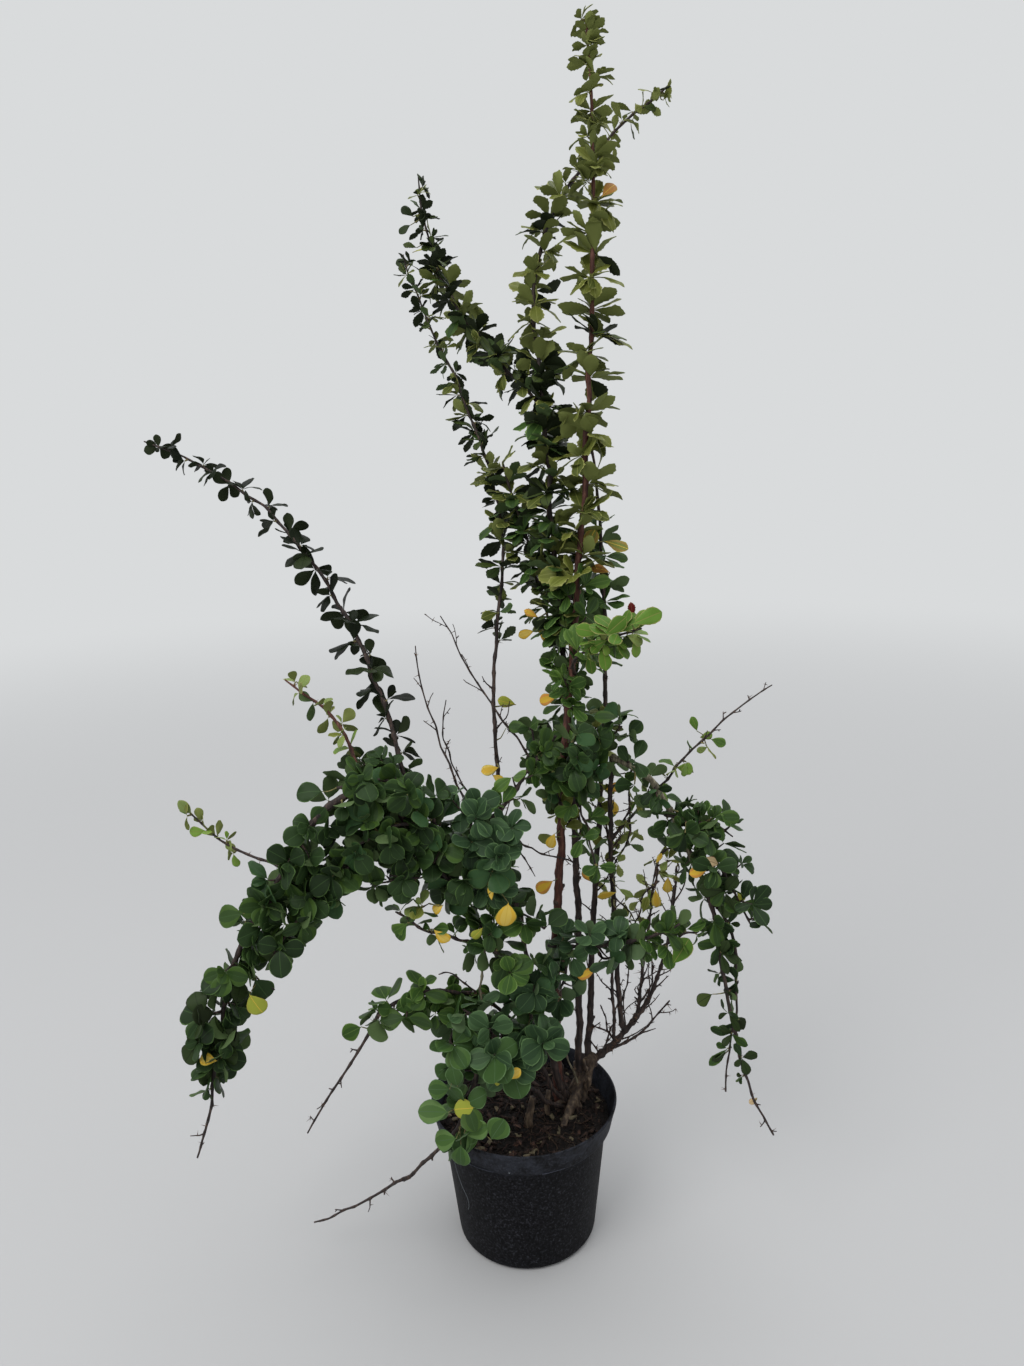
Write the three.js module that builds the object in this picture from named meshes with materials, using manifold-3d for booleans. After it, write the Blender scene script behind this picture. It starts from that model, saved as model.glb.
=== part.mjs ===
// A young barberry shrub in a round nursery pot, in millimetres, +Z up, +X to the right of the front view and +Y away
// from it. The origin is the middle of the pot's flat underside. Stems, boughs and masses of foliage are each one
// closed solid. The tall stems run whole up through the foliage, and every mass is cut round them; a bough ends where
// it enters a mass.
import * as THREE from 'three';
import { mergeVertices } from 'three/addons/utils/BufferGeometryUtils.js';
import Module from 'manifold-3d';

const wasm = await Module();
wasm.setup();

// ---- Driving dimensions -------------------------------------------------------------------------------------------
const GAP = 0.4;               // clear space left between pieces that touch
const POT_HEIGHT = 147;
const POT_BASE_RADIUS = 70.3;
const POT_BAND_FOOT_RADIUS = 82.3; // wall just under the rim band
const POT_RIM_RADIUS = 93;
const POT_BAND_HEIGHT = 24;    // the collar round the rim
const POT_WALL = 2.2;
const POT_FLOOR = 3.0;
const POT_SIDES = 32;
const SOIL_TOP = 128;          // the compost stands 19 mm below the rim
const SOIL_LUMP = 2.2;
const CROWN_FOOT = [48, 5];    // x, y of the gnarled root crown on the compost
const CROWN_TOP = [70, 22, 172];
const CROWN_FOOT_RADIUS = 27;
const CROWN_TOP_RADIUS = 10;

// Every stem and bough: where it starts and ends, the handles it leaves and arrives along, its radius at both ends,
// and which end is kept where foliage cuts it ('all' runs whole, and the foliage is cut round it instead).
const LIMBS = {
  stem_tall:         { foot: [42, 8, 132], tip: [82, 70, 1136], leave: [-17, 11, 334], arrive: [-20, 34, 335], r: [4.6, 0.9], keep: 'all' },
  stem_rear:         { foot: [68, 23, 165], tip: [81, 75, 788], leave: [6, 37, 206], arrive: [-30, 25, 207], r: [3.2, 1.0], keep: 'all' },
  stem_mid:          { foot: [58, 18, 165], tip: [35, 90, 871], leave: [9, 34, 234], arrive: [-11, 74, 228], r: [3.4, 1.7], keep: 'all' },
  stem_mid_top:      { foot: [35, 90, 872], tip: [162, 130, 1102], leave: [-13, 21, 117], arrive: [87, 6, 66], r: [1.7, 0.8], keep: 'all' },
  stem_thorny:       { foot: [74, 24, 168], tip: [163, 60, 362], leave: [68, 6, 41], arrive: [3, 6, 74], r: [4.4, 1.0], keep: 'all' },
  bough_right_rise:  { foot: [103, 28, 204], tip: [91, 0, 499], leave: [-6, 29, 96], arrive: [-1, -33, 93], r: [2.6, 1.7], keep: 'foot' },
  bough_right_hang:  { foot: [175, -23, 381], tip: [237, -60, 137], leave: [21, -10, -81], arrive: [44, -12, -74], r: [1.7, 0.8], keep: 'tip' },
  twig_right_out:    { foot: [93, 30, 407], tip: [258, 70, 547], leave: [51, 15, 47], arrive: [59, 23, 24], r: [1.3, 0.8], keep: 'tip' },
  twig_thorny_mid:   { foot: [120, 33, 212], tip: [143, 65, 361], leave: [7, 7, 50], arrive: [6, 9, 50], r: [1.8, 0.8], keep: 'tip' },
  twig_thorny_low:   { foot: [92, 24, 180], tip: [152, 30, 228], leave: [25, -5, 10], arrive: [18, 4, 18], r: [1.9, 0.9], keep: 'tip' },
  stem_left:         { foot: [42, 18, 145], tip: [-6, 80, 650], leave: [-47, 23, 165], arrive: [28, 54, 165], r: [2.6, 1.4], keep: 'all' },
  shoot_left_tall:   { foot: [-6, 80, 652], tip: [-95, 190, 976], leave: [17, 37, 114], arrive: [-33, 24, 110], r: [1.4, 0.8], keep: 'foot' },
  bough_upper_left:  { foot: [35, 80, 821], tip: [-78, 220, 1057], leave: [-64, 55, 73], arrive: [-7, 24, 117], r: [1.6, 0.8], keep: 'foot' },
  bough_left_rise:   { foot: [40, 4, 145], tip: [-110, -75, 501], leave: [-30, -1, 130], arrive: [-54, -19, 117], r: [3.8, 2.6], keep: 'foot' },
  bough_left_arch:   { foot: [-112, -75, 502], tip: [-211, -104, 414], leave: [-54, -10, 12], arrive: [-23, -10, -38], r: [2.6, 2.1], keep: 'none' },
  bough_left_hang:   { foot: [-212, -104, 412], tip: [-290, -120, 180], leave: [-59, -13, -67], arrive: [-34, 3, -76], r: [2.1, 0.8], keep: 'tip' },
  shoot_far_left:    { foot: [-94, -50, 492], tip: [-337, 80, 799], leave: [-37, 63, 139], arrive: [-152, 31, 53], r: [2.2, 0.8], keep: 'foot' },
  shoot_left_short:  { foot: [-135, -70, 511], tip: [-198, -30, 590], leave: [2, 19, 37], arrive: [-31, 13, 18], r: [1.6, 0.8], keep: 'foot' },
  twig_left_out:     { foot: [-213, -90, 445], tip: [-281, -80, 494], leave: [-26, 8, 4], arrive: [-14, -2, 23], r: [1.2, 0.8], keep: 'tip' },
  bough_low_rise:    { foot: [36, -2, 142], tip: [-128, -80, 293], leave: [-45, -2, 89], arrive: [-102, -35, -39], r: [2.6, 1.4], keep: 'foot' },
  twig_low_tip:      { foot: [-130, -80, 291], tip: [-196, -100, 186], leave: [-18, -8, -37], arrive: [-21, 0, -37], r: [1.3, 0.8], keep: 'tip' },
  bough_front_rise:  { foot: [34, -10, 138], tip: [-40, -68, 259], leave: [-37, -17, 33], arrive: [-21, -28, 38], r: [2.8, 2.2], keep: 'foot' },
  bough_front_hang:  { foot: [-41, -68, 258], tip: [-214, -35, 33], leave: [-2, -32, -110], arrive: [-81, 21, -52], r: [2.2, 0.8], keep: 'tip' },
  twig_bare_left:    { foot: [-44, -10, 464], tip: [-87, 20, 607], leave: [-18, 4, 47], arrive: [-3, 8, 51], r: [1.2, 0.8], keep: 'tip' },
  twig_bare_mid:     { foot: [13, 10, 504], tip: [-64, 40, 631], leave: [-29, 6, 42], arrive: [-21, 10, 46], r: [1.2, 0.8], keep: 'tip' },
};

// Every mass of foliage: the limb it grows along, or a line of its own, the stretch of it that is leafy, its radius
// across and in depth, and how far it sits off the limb. The first in the list keeps its full shape.
const MASSES = {
  leaves_tall_top:      { on: 'stem_tall', from: 0.865, to: 1.0, r: [20, 17] },
  leaves_tall_high:     { on: 'stem_tall', from: 0.7, to: 0.862, r: [29, 24] },
  leaves_tall_low:      { on: 'stem_tall', from: 0.53, to: 0.697, r: [32, 27], off: [6, -4, 0] },
  leaves_mid_column:    { on: 'stem_mid', from: 0.66, to: 0.985, r: [31, 26], off: [-6, 4, 0] },
  leaves_mid_high:      { on: 'stem_mid_top', from: 0.03, to: 0.5, r: [28, 22], off: [-3, 4, 0] },
  leaves_mid_tip:       { on: 'stem_mid_top', from: 0.53, to: 1.0, r: [17, 14] },
  leaves_upper_left:    { on: 'bough_upper_left', from: 0.16, to: 0.66, r: [23, 19] },
  leaves_upper_tip:     { on: 'bough_upper_left', from: 0.68, to: 1.0, r: [15, 13] },
  leaves_left_tall_low: { on: 'shoot_left_tall', from: 0.0, to: 0.42, r: [24, 20] },
  leaves_left_tall_tip: { on: 'shoot_left_tall', from: 0.46, to: 1.0, r: [19, 16] },
  leaves_spray_front:   { line: [[46, -42, 612], [118, -54, 648]], r: [24, 18] },
  leaves_centre_top:    { line: [[52, 14, 575], [64, 14, 668]], r: [44, 36] },
  leaves_centre:        { line: [[4, 2, 500], [100, 4, 510]], r: [54, 44] },
  leaves_centre_low:    { line: [[62, 6, 446], [72, 2, 372]], r: [32, 24] },
  leaves_right_crest:   { line: [[98, -6, 494], [168, -14, 446]], r: [25, 20] },
  leaves_right_outer:   { line: [[172, -20, 452], [212, -28, 326]], r: [36, 28] },
  leaves_right_hang:    { on: 'bough_right_hang', from: 0.26, to: 0.78, r: [22, 16] },
  leaves_left_crest:    { line: [[-66, -66, 494], [-148, -76, 502]], r: [48, 36] },
  leaves_left_arch:     { line: [[-132, -78, 478], [-202, -102, 398]], r: [44, 34] },
  leaves_left_drop:     { on: 'bough_left_hang', from: 0.0, to: 0.36, r: [33, 25], off: [8, 0, -6] },
  leaves_left_end:      { on: 'bough_left_hang', from: 0.32, to: 0.8, r: [37, 28], off: [4, 0, 4] },
  leaves_far_left_low:  { on: 'shoot_far_left', from: 0.14, to: 0.55, r: [21, 17] },
  leaves_far_left_tip:  { on: 'shoot_far_left', from: 0.57, to: 1.0, r: [14, 12] },
  leaves_left_short:    { on: 'shoot_left_short', from: 0.5, to: 1.0, r: [15, 12] },
  leaves_front_upper:   { line: [[-84, -62, 436], [12, -58, 448]], r: [56, 38] },
  leaves_front_mid:     { line: [[-44, -52, 376], [10, -48, 318]], r: [50, 36] },
  leaves_front_low:     { line: [[-36, -66, 276], [38, -46, 228]], r: [46, 34] },
  leaves_cross:         { line: [[34, -16, 318], [150, -34, 336]], r: [30, 24] },
  leaves_low_left:      { line: [[-58, -58, 292], [-140, -80, 300]], r: [34, 26] },
  leaves_front_hang:    { on: 'bough_front_hang', from: 0.12, to: 0.5, r: [30, 22], off: [4, -6, 0] },
  leaves_back_upper:    { line: [[4, 64, 500], [92, 66, 496]], r: [44, 32] },
  leaves_back_low:      { line: [[-52, 36, 404], [18, 52, 386]], r: [44, 34] },
};

// ---- Colours ------------------------------------------------------------------------------------------------------
const PAINT = {
  pot: ['#34353a', 0.55], soil: ['#2a211d', 0.95], crown: ['#5a4c40', 0.9], stem: ['#4a3029', 0.8], leaf: ['#35492f', 0.7],
};
const material = ([color, roughness]) => new THREE.MeshStandardMaterial({ color, roughness, metalness: 0 });

// ---- Making closed solids -----------------------------------------------------------------------------------------
const v3 = (a) => new THREE.Vector3(...a);

// A number from -1 to 1 that depends only on its inputs.
function ripple(seed, i, j) {
  let h = (seed * 374761393 + i * 668265263 + j * 2246822519) >>> 0;
  h = Math.imul(h ^ (h >>> 13), 1274126177) >>> 0;
  return (((h ^ (h >>> 16)) >>> 0) / 4294967295) * 2 - 1;
}

const seedOf = (name) => [...name].reduce((sum, ch) => (sum * 31 + ch.charCodeAt(0)) >>> 0, 7);

// Frames that don't twist, at n + 1 places along a curve from t0 to t1.
function framesAlong(curve, n, t0, t1) {
  const out = [];
  let side = null;
  for (let i = 0; i <= n; i += 1) {
    const t = t0 + ((t1 - t0) * i) / n;
    const point = curve.getPoint(t);
    const ahead = curve.getTangent(Math.min(Math.max(t, 0.0001), 0.9999)).normalize();
    if (!side) side = Math.abs(ahead.y) > 0.9 ? v3([1, 0, 0]) : v3([0, 1, 0]).cross(ahead);
    side = side.clone().addScaledVector(ahead, -side.dot(ahead)).normalize();
    out.push({ point, ahead, side, up: ahead.clone().cross(side) });
  }
  return out;
}

// Rings of points joined into one closed body; each end is closed round its own middle point.
function skin(rings, start, end) {
  const sides = rings[0].length;
  const points = [start, ...rings.flat(), end];
  const last = points.length - 1;
  const at = (i, j) => 1 + i * sides + (j % sides);
  const faces = [];
  for (let j = 0; j < sides; j += 1) {
    faces.push([0, at(0, j + 1), at(0, j)]);
    for (let i = 0; i + 1 < rings.length; i += 1) {
      faces.push([at(i, j), at(i, j + 1), at(i + 1, j + 1)], [at(i, j), at(i + 1, j + 1), at(i + 1, j)]);
    }
    faces.push([last, at(rings.length - 1, j), at(rings.length - 1, j + 1)]);
  }
  const geometry = new THREE.BufferGeometry();
  geometry.setAttribute('position', new THREE.Float32BufferAttribute(points.flatMap((p) => [p.x, p.y, p.z]), 3));
  geometry.setIndex(faces.flat());
  return geometry;
}

function limbCurve({ foot, tip, leave, arrive }) {
  const a = v3(foot);
  const d = v3(tip);
  return new THREE.CubicBezierCurve3(a, a.clone().add(v3(leave)), d.clone().sub(v3(arrive)), d);
}

// A limb tapers evenly and has six sides; `grow` makes the fatter one that clears a gap.
function limbGeometry(limb, grow = 0) {
  const curve = limbCurve(limb);
  const n = Math.max(3, Math.min(10, Math.round(curve.getLength() / 65)));
  const frames = framesAlong(curve, n, 0, 1);
  const rings = frames.map(({ point, side, up }, i) => {
    const radius = limb.r[0] + (limb.r[1] - limb.r[0]) * (i / n) ** 0.85 + grow;
    return Array.from({ length: 6 }, (_, j) => {
      const a = (j / 6) * Math.PI * 2;
      return point.clone().addScaledVector(side, Math.cos(a) * radius).addScaledVector(up, Math.sin(a) * radius);
    });
  });
  const end = frames[n];
  return skin(rings, frames[0].point.clone().addScaledVector(frames[0].ahead, -grow), end.point.clone().addScaledVector(end.ahead, grow));
}

// A mass is an uneven closed body round its line: full in the middle, drawn in at both ends, lumpy all over.
function massGeometry(name, mass, grow = 0) {
  const curve = mass.line ? new THREE.LineCurve3(v3(mass.line[0]), v3(mass.line[1])) : limbCurve(LIMBS[mass.on]);
  const [t0, t1] = mass.line ? [0, 1] : [mass.from, mass.to];
  const length = curve.getLength() * (t1 - t0);
  const [wide, deep] = mass.r;
  const rings = Math.max(4, Math.min(7, Math.round(length / wide) + 3));
  const seed = seedOf(name);
  const off = v3(mass.off ?? [0, 0, 0]);
  const frames = framesAlong(curve, 40, t0, t1);
  // On a line of its own the mass reaches its radius past both ends; on a limb it ends with the leafy stretch.
  const reach = mass.line ? wide * 0.62 : 0;
  const body = [];
  for (let i = 0; i < rings; i += 1) {
    const s = (i + 0.5) / rings;
    const along = -reach + s * (length + 2 * reach);
    const k = Math.max(0, Math.min(40, Math.round((along / length) * 40)));
    const { point, ahead, side, up } = frames[k];
    const beyond = along - (k / 40) * length;
    const fullness = Math.min(1, 1.22 * Math.sin(Math.PI * s) ** 0.55);
    body.push(Array.from({ length: 8 }, (_, j) => {
      const a = ((j + 0.5 * (i % 2)) / 8) * Math.PI * 2;
      const lump = 1 + 0.2 * ripple(seed, i, j);
      return point.clone().add(off).addScaledVector(ahead, beyond)
        .addScaledVector(side, Math.cos(a) * (wide * fullness * lump + grow))
        .addScaledVector(up, Math.sin(a) * (deep * fullness * lump + grow));
    }));
  }
  const a = frames[0];
  const b = frames[40];
  return skin(
    body,
    a.point.clone().add(off).addScaledVector(a.ahead, -reach - grow),
    b.point.clone().add(off).addScaledVector(b.ahead, reach + grow),
  );
}

// ---- Joining and cutting ------------------------------------------------------------------------------------------
function solid(geometry) {
  const g = geometry.clone();
  g.deleteAttribute('normal');
  g.deleteAttribute('uv');
  const merged = mergeVertices(g, 1e-4);
  return new wasm.Manifold(new wasm.Mesh({
    numProp: 3,
    vertProperties: new Float32Array(merged.getAttribute('position').array),
    triVerts: new Uint32Array(merged.getIndex().array),
  }));
}

function geometryOf(body) {
  const mesh = body.getMesh();
  const geometry = new THREE.BufferGeometry();
  geometry.setAttribute('position', new THREE.Float32BufferAttribute(mesh.vertProperties, 3));
  geometry.setIndex([...mesh.triVerts]);
  geometry.computeVertexNormals();
  return geometry;
}

// Cuts every cutter off a body. Of what is left, the piece nearest to a point stays, or else the largest.
function carve(body, cutters, near = null) {
  let rest = body;
  for (const cutter of cutters) rest = rest.subtract(cutter);
  const pieces = rest.decompose();
  if (pieces.length < 2) return rest;
  const distance = (piece) => {
    const p = piece.getMesh().vertProperties;
    let best = Infinity;
    for (let i = 0; i < p.length; i += 3) best = Math.min(best, Math.hypot(p[i] - near[0], p[i + 1] - near[1], p[i + 2] - near[2]));
    return best;
  };
  const score = near ? (piece) => -distance(piece) : (piece) => piece.volume();
  return pieces.reduce((best, piece) => (score(piece) > score(best) ? piece : best));
}

// ---- Pot, compost and root crown ----------------------------------------------------------------------------------
// The wall of the pot as one closed profile: flat underside, leaning wall, a collar that stands out round the rim.
function potGeometry(grow = 0) {
  const bandFoot = POT_HEIGHT - POT_BAND_HEIGHT;
  const outer = [
    [0, 0 - grow], [POT_BASE_RADIUS - 6, 0 - grow], [POT_BASE_RADIUS - 1.7 + grow, 1.8], [POT_BASE_RADIUS + grow, 6],
    [POT_BAND_FOOT_RADIUS + grow, bandFoot - 1.5], [POT_RIM_RADIUS - 5 + grow, bandFoot + 1 - grow],
    [POT_RIM_RADIUS + grow, POT_HEIGHT - 1.5], [POT_RIM_RADIUS - 1 + grow, POT_HEIGHT + grow],
  ];
  const inner = [
    [POT_RIM_RADIUS - POT_WALL - grow, POT_HEIGHT + grow], [POT_RIM_RADIUS - 5 - POT_WALL - grow, bandFoot + 2],
    [POT_BAND_FOOT_RADIUS - POT_WALL - grow, bandFoot - 2.5], [POT_BASE_RADIUS - POT_WALL - grow, POT_FLOOR + grow], [0, POT_FLOOR + grow],
  ];
  const profile = [...outer, ...inner].map(([r, z]) => new THREE.Vector2(r, z));
  const geometry = new THREE.LatheGeometry(profile, POT_SIDES);
  geometry.rotateX(Math.PI / 2);
  return geometry;
}

// The radius inside the pot at a height, from the same sizes as its wall.
function innerRadius(z) {
  const bandFoot = POT_HEIGHT - POT_BAND_HEIGHT;
  const foot = POT_BASE_RADIUS - POT_WALL;
  const neck = POT_BAND_FOOT_RADIUS - POT_WALL;
  return z < bandFoot - 2.5 ? foot + ((neck - foot) * (z - POT_FLOOR)) / (bandFoot - 2.5 - POT_FLOOR) : neck;
}

// Compost fills the pot to below the rim, with an uneven top.
function soilGeometry(grow = 0) {
  const sides = 24;
  const ring = (radius, z, lump, seed) => Array.from({ length: sides }, (_, j) => {
    const a = (j / sides) * Math.PI * 2;
    return v3([Math.cos(a) * radius, Math.sin(a) * radius, z + lump * ripple(seed, 1, j)]);
  });
  const side = (z) => innerRadius(z) - 0.9;
  const rings = [
    ring(side(POT_FLOOR + 1), POT_FLOOR + GAP, 0, 1),
    ring(side(SOIL_TOP - 12), SOIL_TOP - 12, 0, 1),
    ring(side(SOIL_TOP - 12), SOIL_TOP - 3 + grow, SOIL_LUMP * 0.5, 2),
    ring(side(SOIL_TOP) * 0.72, SOIL_TOP + grow, SOIL_LUMP, 3),
    ring(side(SOIL_TOP) * 0.36, SOIL_TOP + 1.5 + grow, SOIL_LUMP, 4),
  ];
  return skin(rings, v3([0, 0, POT_FLOOR + GAP]), v3([0, 0, SOIL_TOP + 2 + grow]));
}

// The root crown flares out over the compost and narrows to a leaning neck.
function crownGeometry(grow = 0) {
  const levels = [0, 0.12, 0.3, 0.55, 0.8, 1];
  const foot = v3([...CROWN_FOOT, SOIL_TOP - 4]);
  const top = v3(CROWN_TOP);
  const middle = foot.clone().lerp(top, 0.5).add(v3([-3, -2, 2]));
  const curve = new THREE.QuadraticBezierCurve3(foot, middle, top);
  const rings = levels.map((s, i) => {
    const c = curve.getPoint(s);
    const radius = CROWN_TOP_RADIUS + (CROWN_FOOT_RADIUS - CROWN_TOP_RADIUS) * (1 - s) ** 2.6 + grow;
    return Array.from({ length: 12 }, (_, j) => {
      const a = (j / 12) * Math.PI * 2;
      const root = 1 + (1 - s) * 0.2 * Math.cos(a * 4 + 0.6) + 0.07 * ripple(31, i, j);
      return c.clone().add(v3([Math.cos(a) * radius * root, Math.sin(a) * radius * root * 0.85, 0]));
    });
  });
  return skin(rings, foot, top);
}

// ---- Assembly -----------------------------------------------------------------------------------------------------
const shrub = new THREE.Group();

function add(name, paint, body) {
  const mesh = new THREE.Mesh(geometryOf(body), material(PAINT[paint]));
  mesh.name = name;
  shrub.add(mesh);
}

const pot = solid(potGeometry());
const potFat = solid(potGeometry(GAP));
add('pot', 'pot', pot);
add('soil', 'soil', solid(soilGeometry()));
const soilFat = solid(soilGeometry(GAP));
add('root_crown', 'crown', carve(solid(crownGeometry()), [soilFat]));
const crownFat = solid(crownGeometry(GAP));

// Stems that run whole.
const woodFat = [];
const ground = [soilFat, potFat, crownFat];
for (const [name, limb] of Object.entries(LIMBS).filter(([, l]) => l.keep === 'all')) {
  add(name, 'stem', carve(solid(limbGeometry(limb)), [...ground, ...woodFat], limb.tip));
  woodFat.push(solid(limbGeometry(limb, GAP)));
}

// Foliage, cut round those stems and round the masses before it.
const foliageFat = [];
for (const [name, mass] of Object.entries(MASSES)) {
  add(name, 'leaf', carve(solid(massGeometry(name, mass)), [...ground, ...woodFat, ...foliageFat]));
  foliageFat.push(solid(massGeometry(name, mass, GAP)));
}

// Boughs and twigs that end where they enter foliage.
for (const [name, limb] of Object.entries(LIMBS).filter(([, l]) => l.keep === 'foot' || l.keep === 'tip')) {
  add(name, 'stem', carve(solid(limbGeometry(limb)), [...ground, ...woodFat, ...foliageFat], limb[limb.keep]));
  woodFat.push(solid(limbGeometry(limb, GAP)));
}

export default shrub;
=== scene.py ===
import math
import zlib

import bpy
import numpy as np
from mathutils import Matrix, Vector, noise


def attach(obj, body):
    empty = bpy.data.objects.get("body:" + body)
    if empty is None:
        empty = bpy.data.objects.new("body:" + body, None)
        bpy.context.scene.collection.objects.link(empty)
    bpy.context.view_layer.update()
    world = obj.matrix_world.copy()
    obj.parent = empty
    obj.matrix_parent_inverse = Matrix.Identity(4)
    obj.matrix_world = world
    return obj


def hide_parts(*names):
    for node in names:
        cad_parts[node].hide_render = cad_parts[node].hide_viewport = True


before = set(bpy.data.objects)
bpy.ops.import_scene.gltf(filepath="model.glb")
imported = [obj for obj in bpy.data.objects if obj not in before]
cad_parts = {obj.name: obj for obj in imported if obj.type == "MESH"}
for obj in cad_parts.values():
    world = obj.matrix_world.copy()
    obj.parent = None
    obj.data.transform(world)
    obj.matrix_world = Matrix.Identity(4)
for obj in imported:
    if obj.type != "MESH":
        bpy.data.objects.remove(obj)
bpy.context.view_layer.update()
MM = 0.001
UP = np.array([0.0, 0.0, 1.0])
FRONT = np.array([0.0, -1.0, 0.0])


# ---------------------------------------------------------------- camera

def make_camera():
    tilt, roll = math.radians(13.15), math.radians(-1.81)
    look = Vector((0, math.cos(tilt), -math.sin(tilt)))
    right = Vector((1, 0, 0))
    up = right.cross(look)
    right_r = math.cos(roll) * right + math.sin(roll) * up
    up_r = -math.sin(roll) * right + math.cos(roll) * up
    data = bpy.data.cameras.new("camera")
    data.sensor_width = 36
    data.lens = 25.695
    data.clip_start = 0.05
    data.clip_end = 60
    cam = bpy.data.objects.new("camera", data)
    m = Matrix((right_r, up_r, -look)).transposed().to_4x4()
    m.translation = Vector((0.0012, -0.866, 0.776))
    cam.matrix_world = m
    bpy.context.scene.collection.objects.link(cam)
    bpy.context.scene.camera = cam


make_camera()


# ---------------------------------------------------------------- small maths

def rng_for(name):
    return np.random.default_rng(zlib.crc32(name.encode()))


def unit(v):
    v = np.asarray(v, float)
    return v / (np.linalg.norm(v, axis=-1, keepdims=True) + 1e-12)


def across(v):
    """A unit vector at right angles to v."""
    v = unit(v)
    other = UP if abs(v[2]) < 0.9 else np.array([1.0, 0.0, 0.0])
    return unit(np.cross(v, other))


class Path:
    """A smooth line through space, in mm, walked by its length."""

    def __init__(self, points):
        self.p = np.asarray(points, float)
        seg = np.linalg.norm(np.diff(self.p, axis=0), axis=1)
        self.s = np.r_[0, np.cumsum(seg)]
        self.length = self.s[-1]

    def at(self, s):
        s = np.clip(s, 0, self.length)
        return np.stack([np.interp(s, self.s, self.p[:, k]) for k in range(3)], -1)

    def tangent(self, s, h=2.5):
        return unit(self.at(np.minimum(s + h, self.length)) - self.at(np.maximum(s - h, 0)))

    def s_at_height(self, z):
        return float(self.s[np.argmin(abs(self.p[:, 2] - z))])


def bezier(foot, tip, leave, arrive, n=120):
    a, d = np.asarray(foot, float), np.asarray(tip, float)
    b, c = a + np.asarray(leave, float), d - np.asarray(arrive, float)
    t = np.linspace(0, 1, n + 1)[:, None]
    return Path((1 - t) ** 3 * a + 3 * (1 - t) ** 2 * t * b + 3 * (1 - t) * t * t * c + t ** 3 * d)


def through(points, per=14):
    """A smooth line that passes through every point."""
    p = np.asarray(points, float)
    p = np.vstack([2 * p[0] - p[1], p, 2 * p[-1] - p[-2]])
    out = []
    for i in range(1, len(p) - 2):
        for t in np.linspace(0, 1, per, endpoint=False):
            out.append(0.5 * (2 * p[i] + (p[i + 1] - p[i - 1]) * t
                              + (2 * p[i - 1] - 5 * p[i] + 4 * p[i + 1] - p[i + 2]) * t * t
                              + (3 * p[i] - p[i - 1] - 3 * p[i + 1] + p[i + 2]) * t ** 3))
    out.append(p[-2])
    return Path(out)


def wander(path, name, size=0.9):
    """The same line with the small kinks that a real shoot has at its nodes."""
    rng = rng_for(name + "wander")
    n = max(3, int(path.length / (19 if size < 1 else 12)))
    kinks = rng.normal(0, size, (n + 1, 3))
    kinks[0] = kinks[-1] = 0
    at = np.linspace(0, path.length, n + 1)
    off = np.stack([np.interp(path.s, at, kinks[:, k]) for k in range(3)], -1)
    return Path(path.p + off)


# ---------------------------------------------------------------- meshes

class Batch:
    """Triangles gathered for one piece, each with the name of its material."""

    def __init__(self):
        self.v, self.f, self.m, self.edge, self.count, self.slots = [], [], [], [], 0, []

    def slot(self, name):
        if name not in self.slots:
            self.slots.append(name)
        return self.slots.index(name)

    def add(self, v, f, mats, sharp=None):
        f = np.asarray(f, np.int64)
        self.v.append(np.asarray(v, float))
        self.f.append(f + self.count)
        self.m.append(np.full(len(f), self.slot(mats)) if isinstance(mats, str) else np.asarray(mats))
        self.edge.append(np.zeros(len(v), bool) if sharp is None else sharp)
        self.count += len(v)

    def build(self, name):
        v, f = np.concatenate(self.v) * MM, np.concatenate(self.f)
        m, edge = np.concatenate(self.m), np.concatenate(self.edge)
        mesh = bpy.data.meshes.new(name)
        mesh.vertices.add(len(v))
        mesh.vertices.foreach_set("co", v.astype(np.float32).ravel())
        mesh.loops.add(len(f) * 3)
        mesh.loops.foreach_set("vertex_index", f.astype(np.int32).ravel())
        mesh.polygons.add(len(f))
        mesh.polygons.foreach_set("loop_start", np.arange(0, len(f) * 3, 3, dtype=np.int32))
        mesh.polygons.foreach_set("material_index", m.astype(np.int32))
        mesh.polygons.foreach_set("use_smooth", np.ones(len(f), bool))
        mesh.update(calc_edges=True)
        if edge.any():
            pairs = np.zeros(len(mesh.edges) * 2, np.int32)
            mesh.edges.foreach_get("vertices", pairs)
            pairs = pairs.reshape(-1, 2)
            sharp = edge[pairs[:, 0]] & edge[pairs[:, 1]]
            mesh.attributes.new("sharp_edge", "BOOLEAN", "EDGE").data.foreach_set("value", sharp)
        for s in self.slots:
            mesh.materials.append(MATERIALS[s])
        obj = bpy.data.objects.new(name, mesh)
        bpy.context.scene.collection.objects.link(obj)
        return obj


def place(obj, slot, *nodes):
    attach(obj, "root")
    if nodes:
        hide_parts(*nodes)
    return obj


def grid_faces(rows, cols, wrap=True):
    """Triangles of a grid of rows of points, closed round each row."""
    n = cols if wrap else cols - 1
    i, j = np.meshgrid(np.arange(rows - 1), np.arange(n), indexing="ij")
    a = (i * cols + j).ravel()
    b = (i * cols + (j + 1) % cols).ravel()
    c, d = b + cols, a + cols
    return np.concatenate([np.stack([a, b, c], 1), np.stack([a, c, d], 1)])


def caps(rows, cols):
    """Triangles from the first and last row to two more points after the grid."""
    j = np.arange(cols)
    k = (j + 1) % cols
    first, last = rows * cols, rows * cols + 1
    top = (rows - 1) * cols
    return np.concatenate([np.stack([k, j, np.full(cols, first)], 1),
                           np.stack([top + j, top + k, np.full(cols, last)], 1)])


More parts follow.
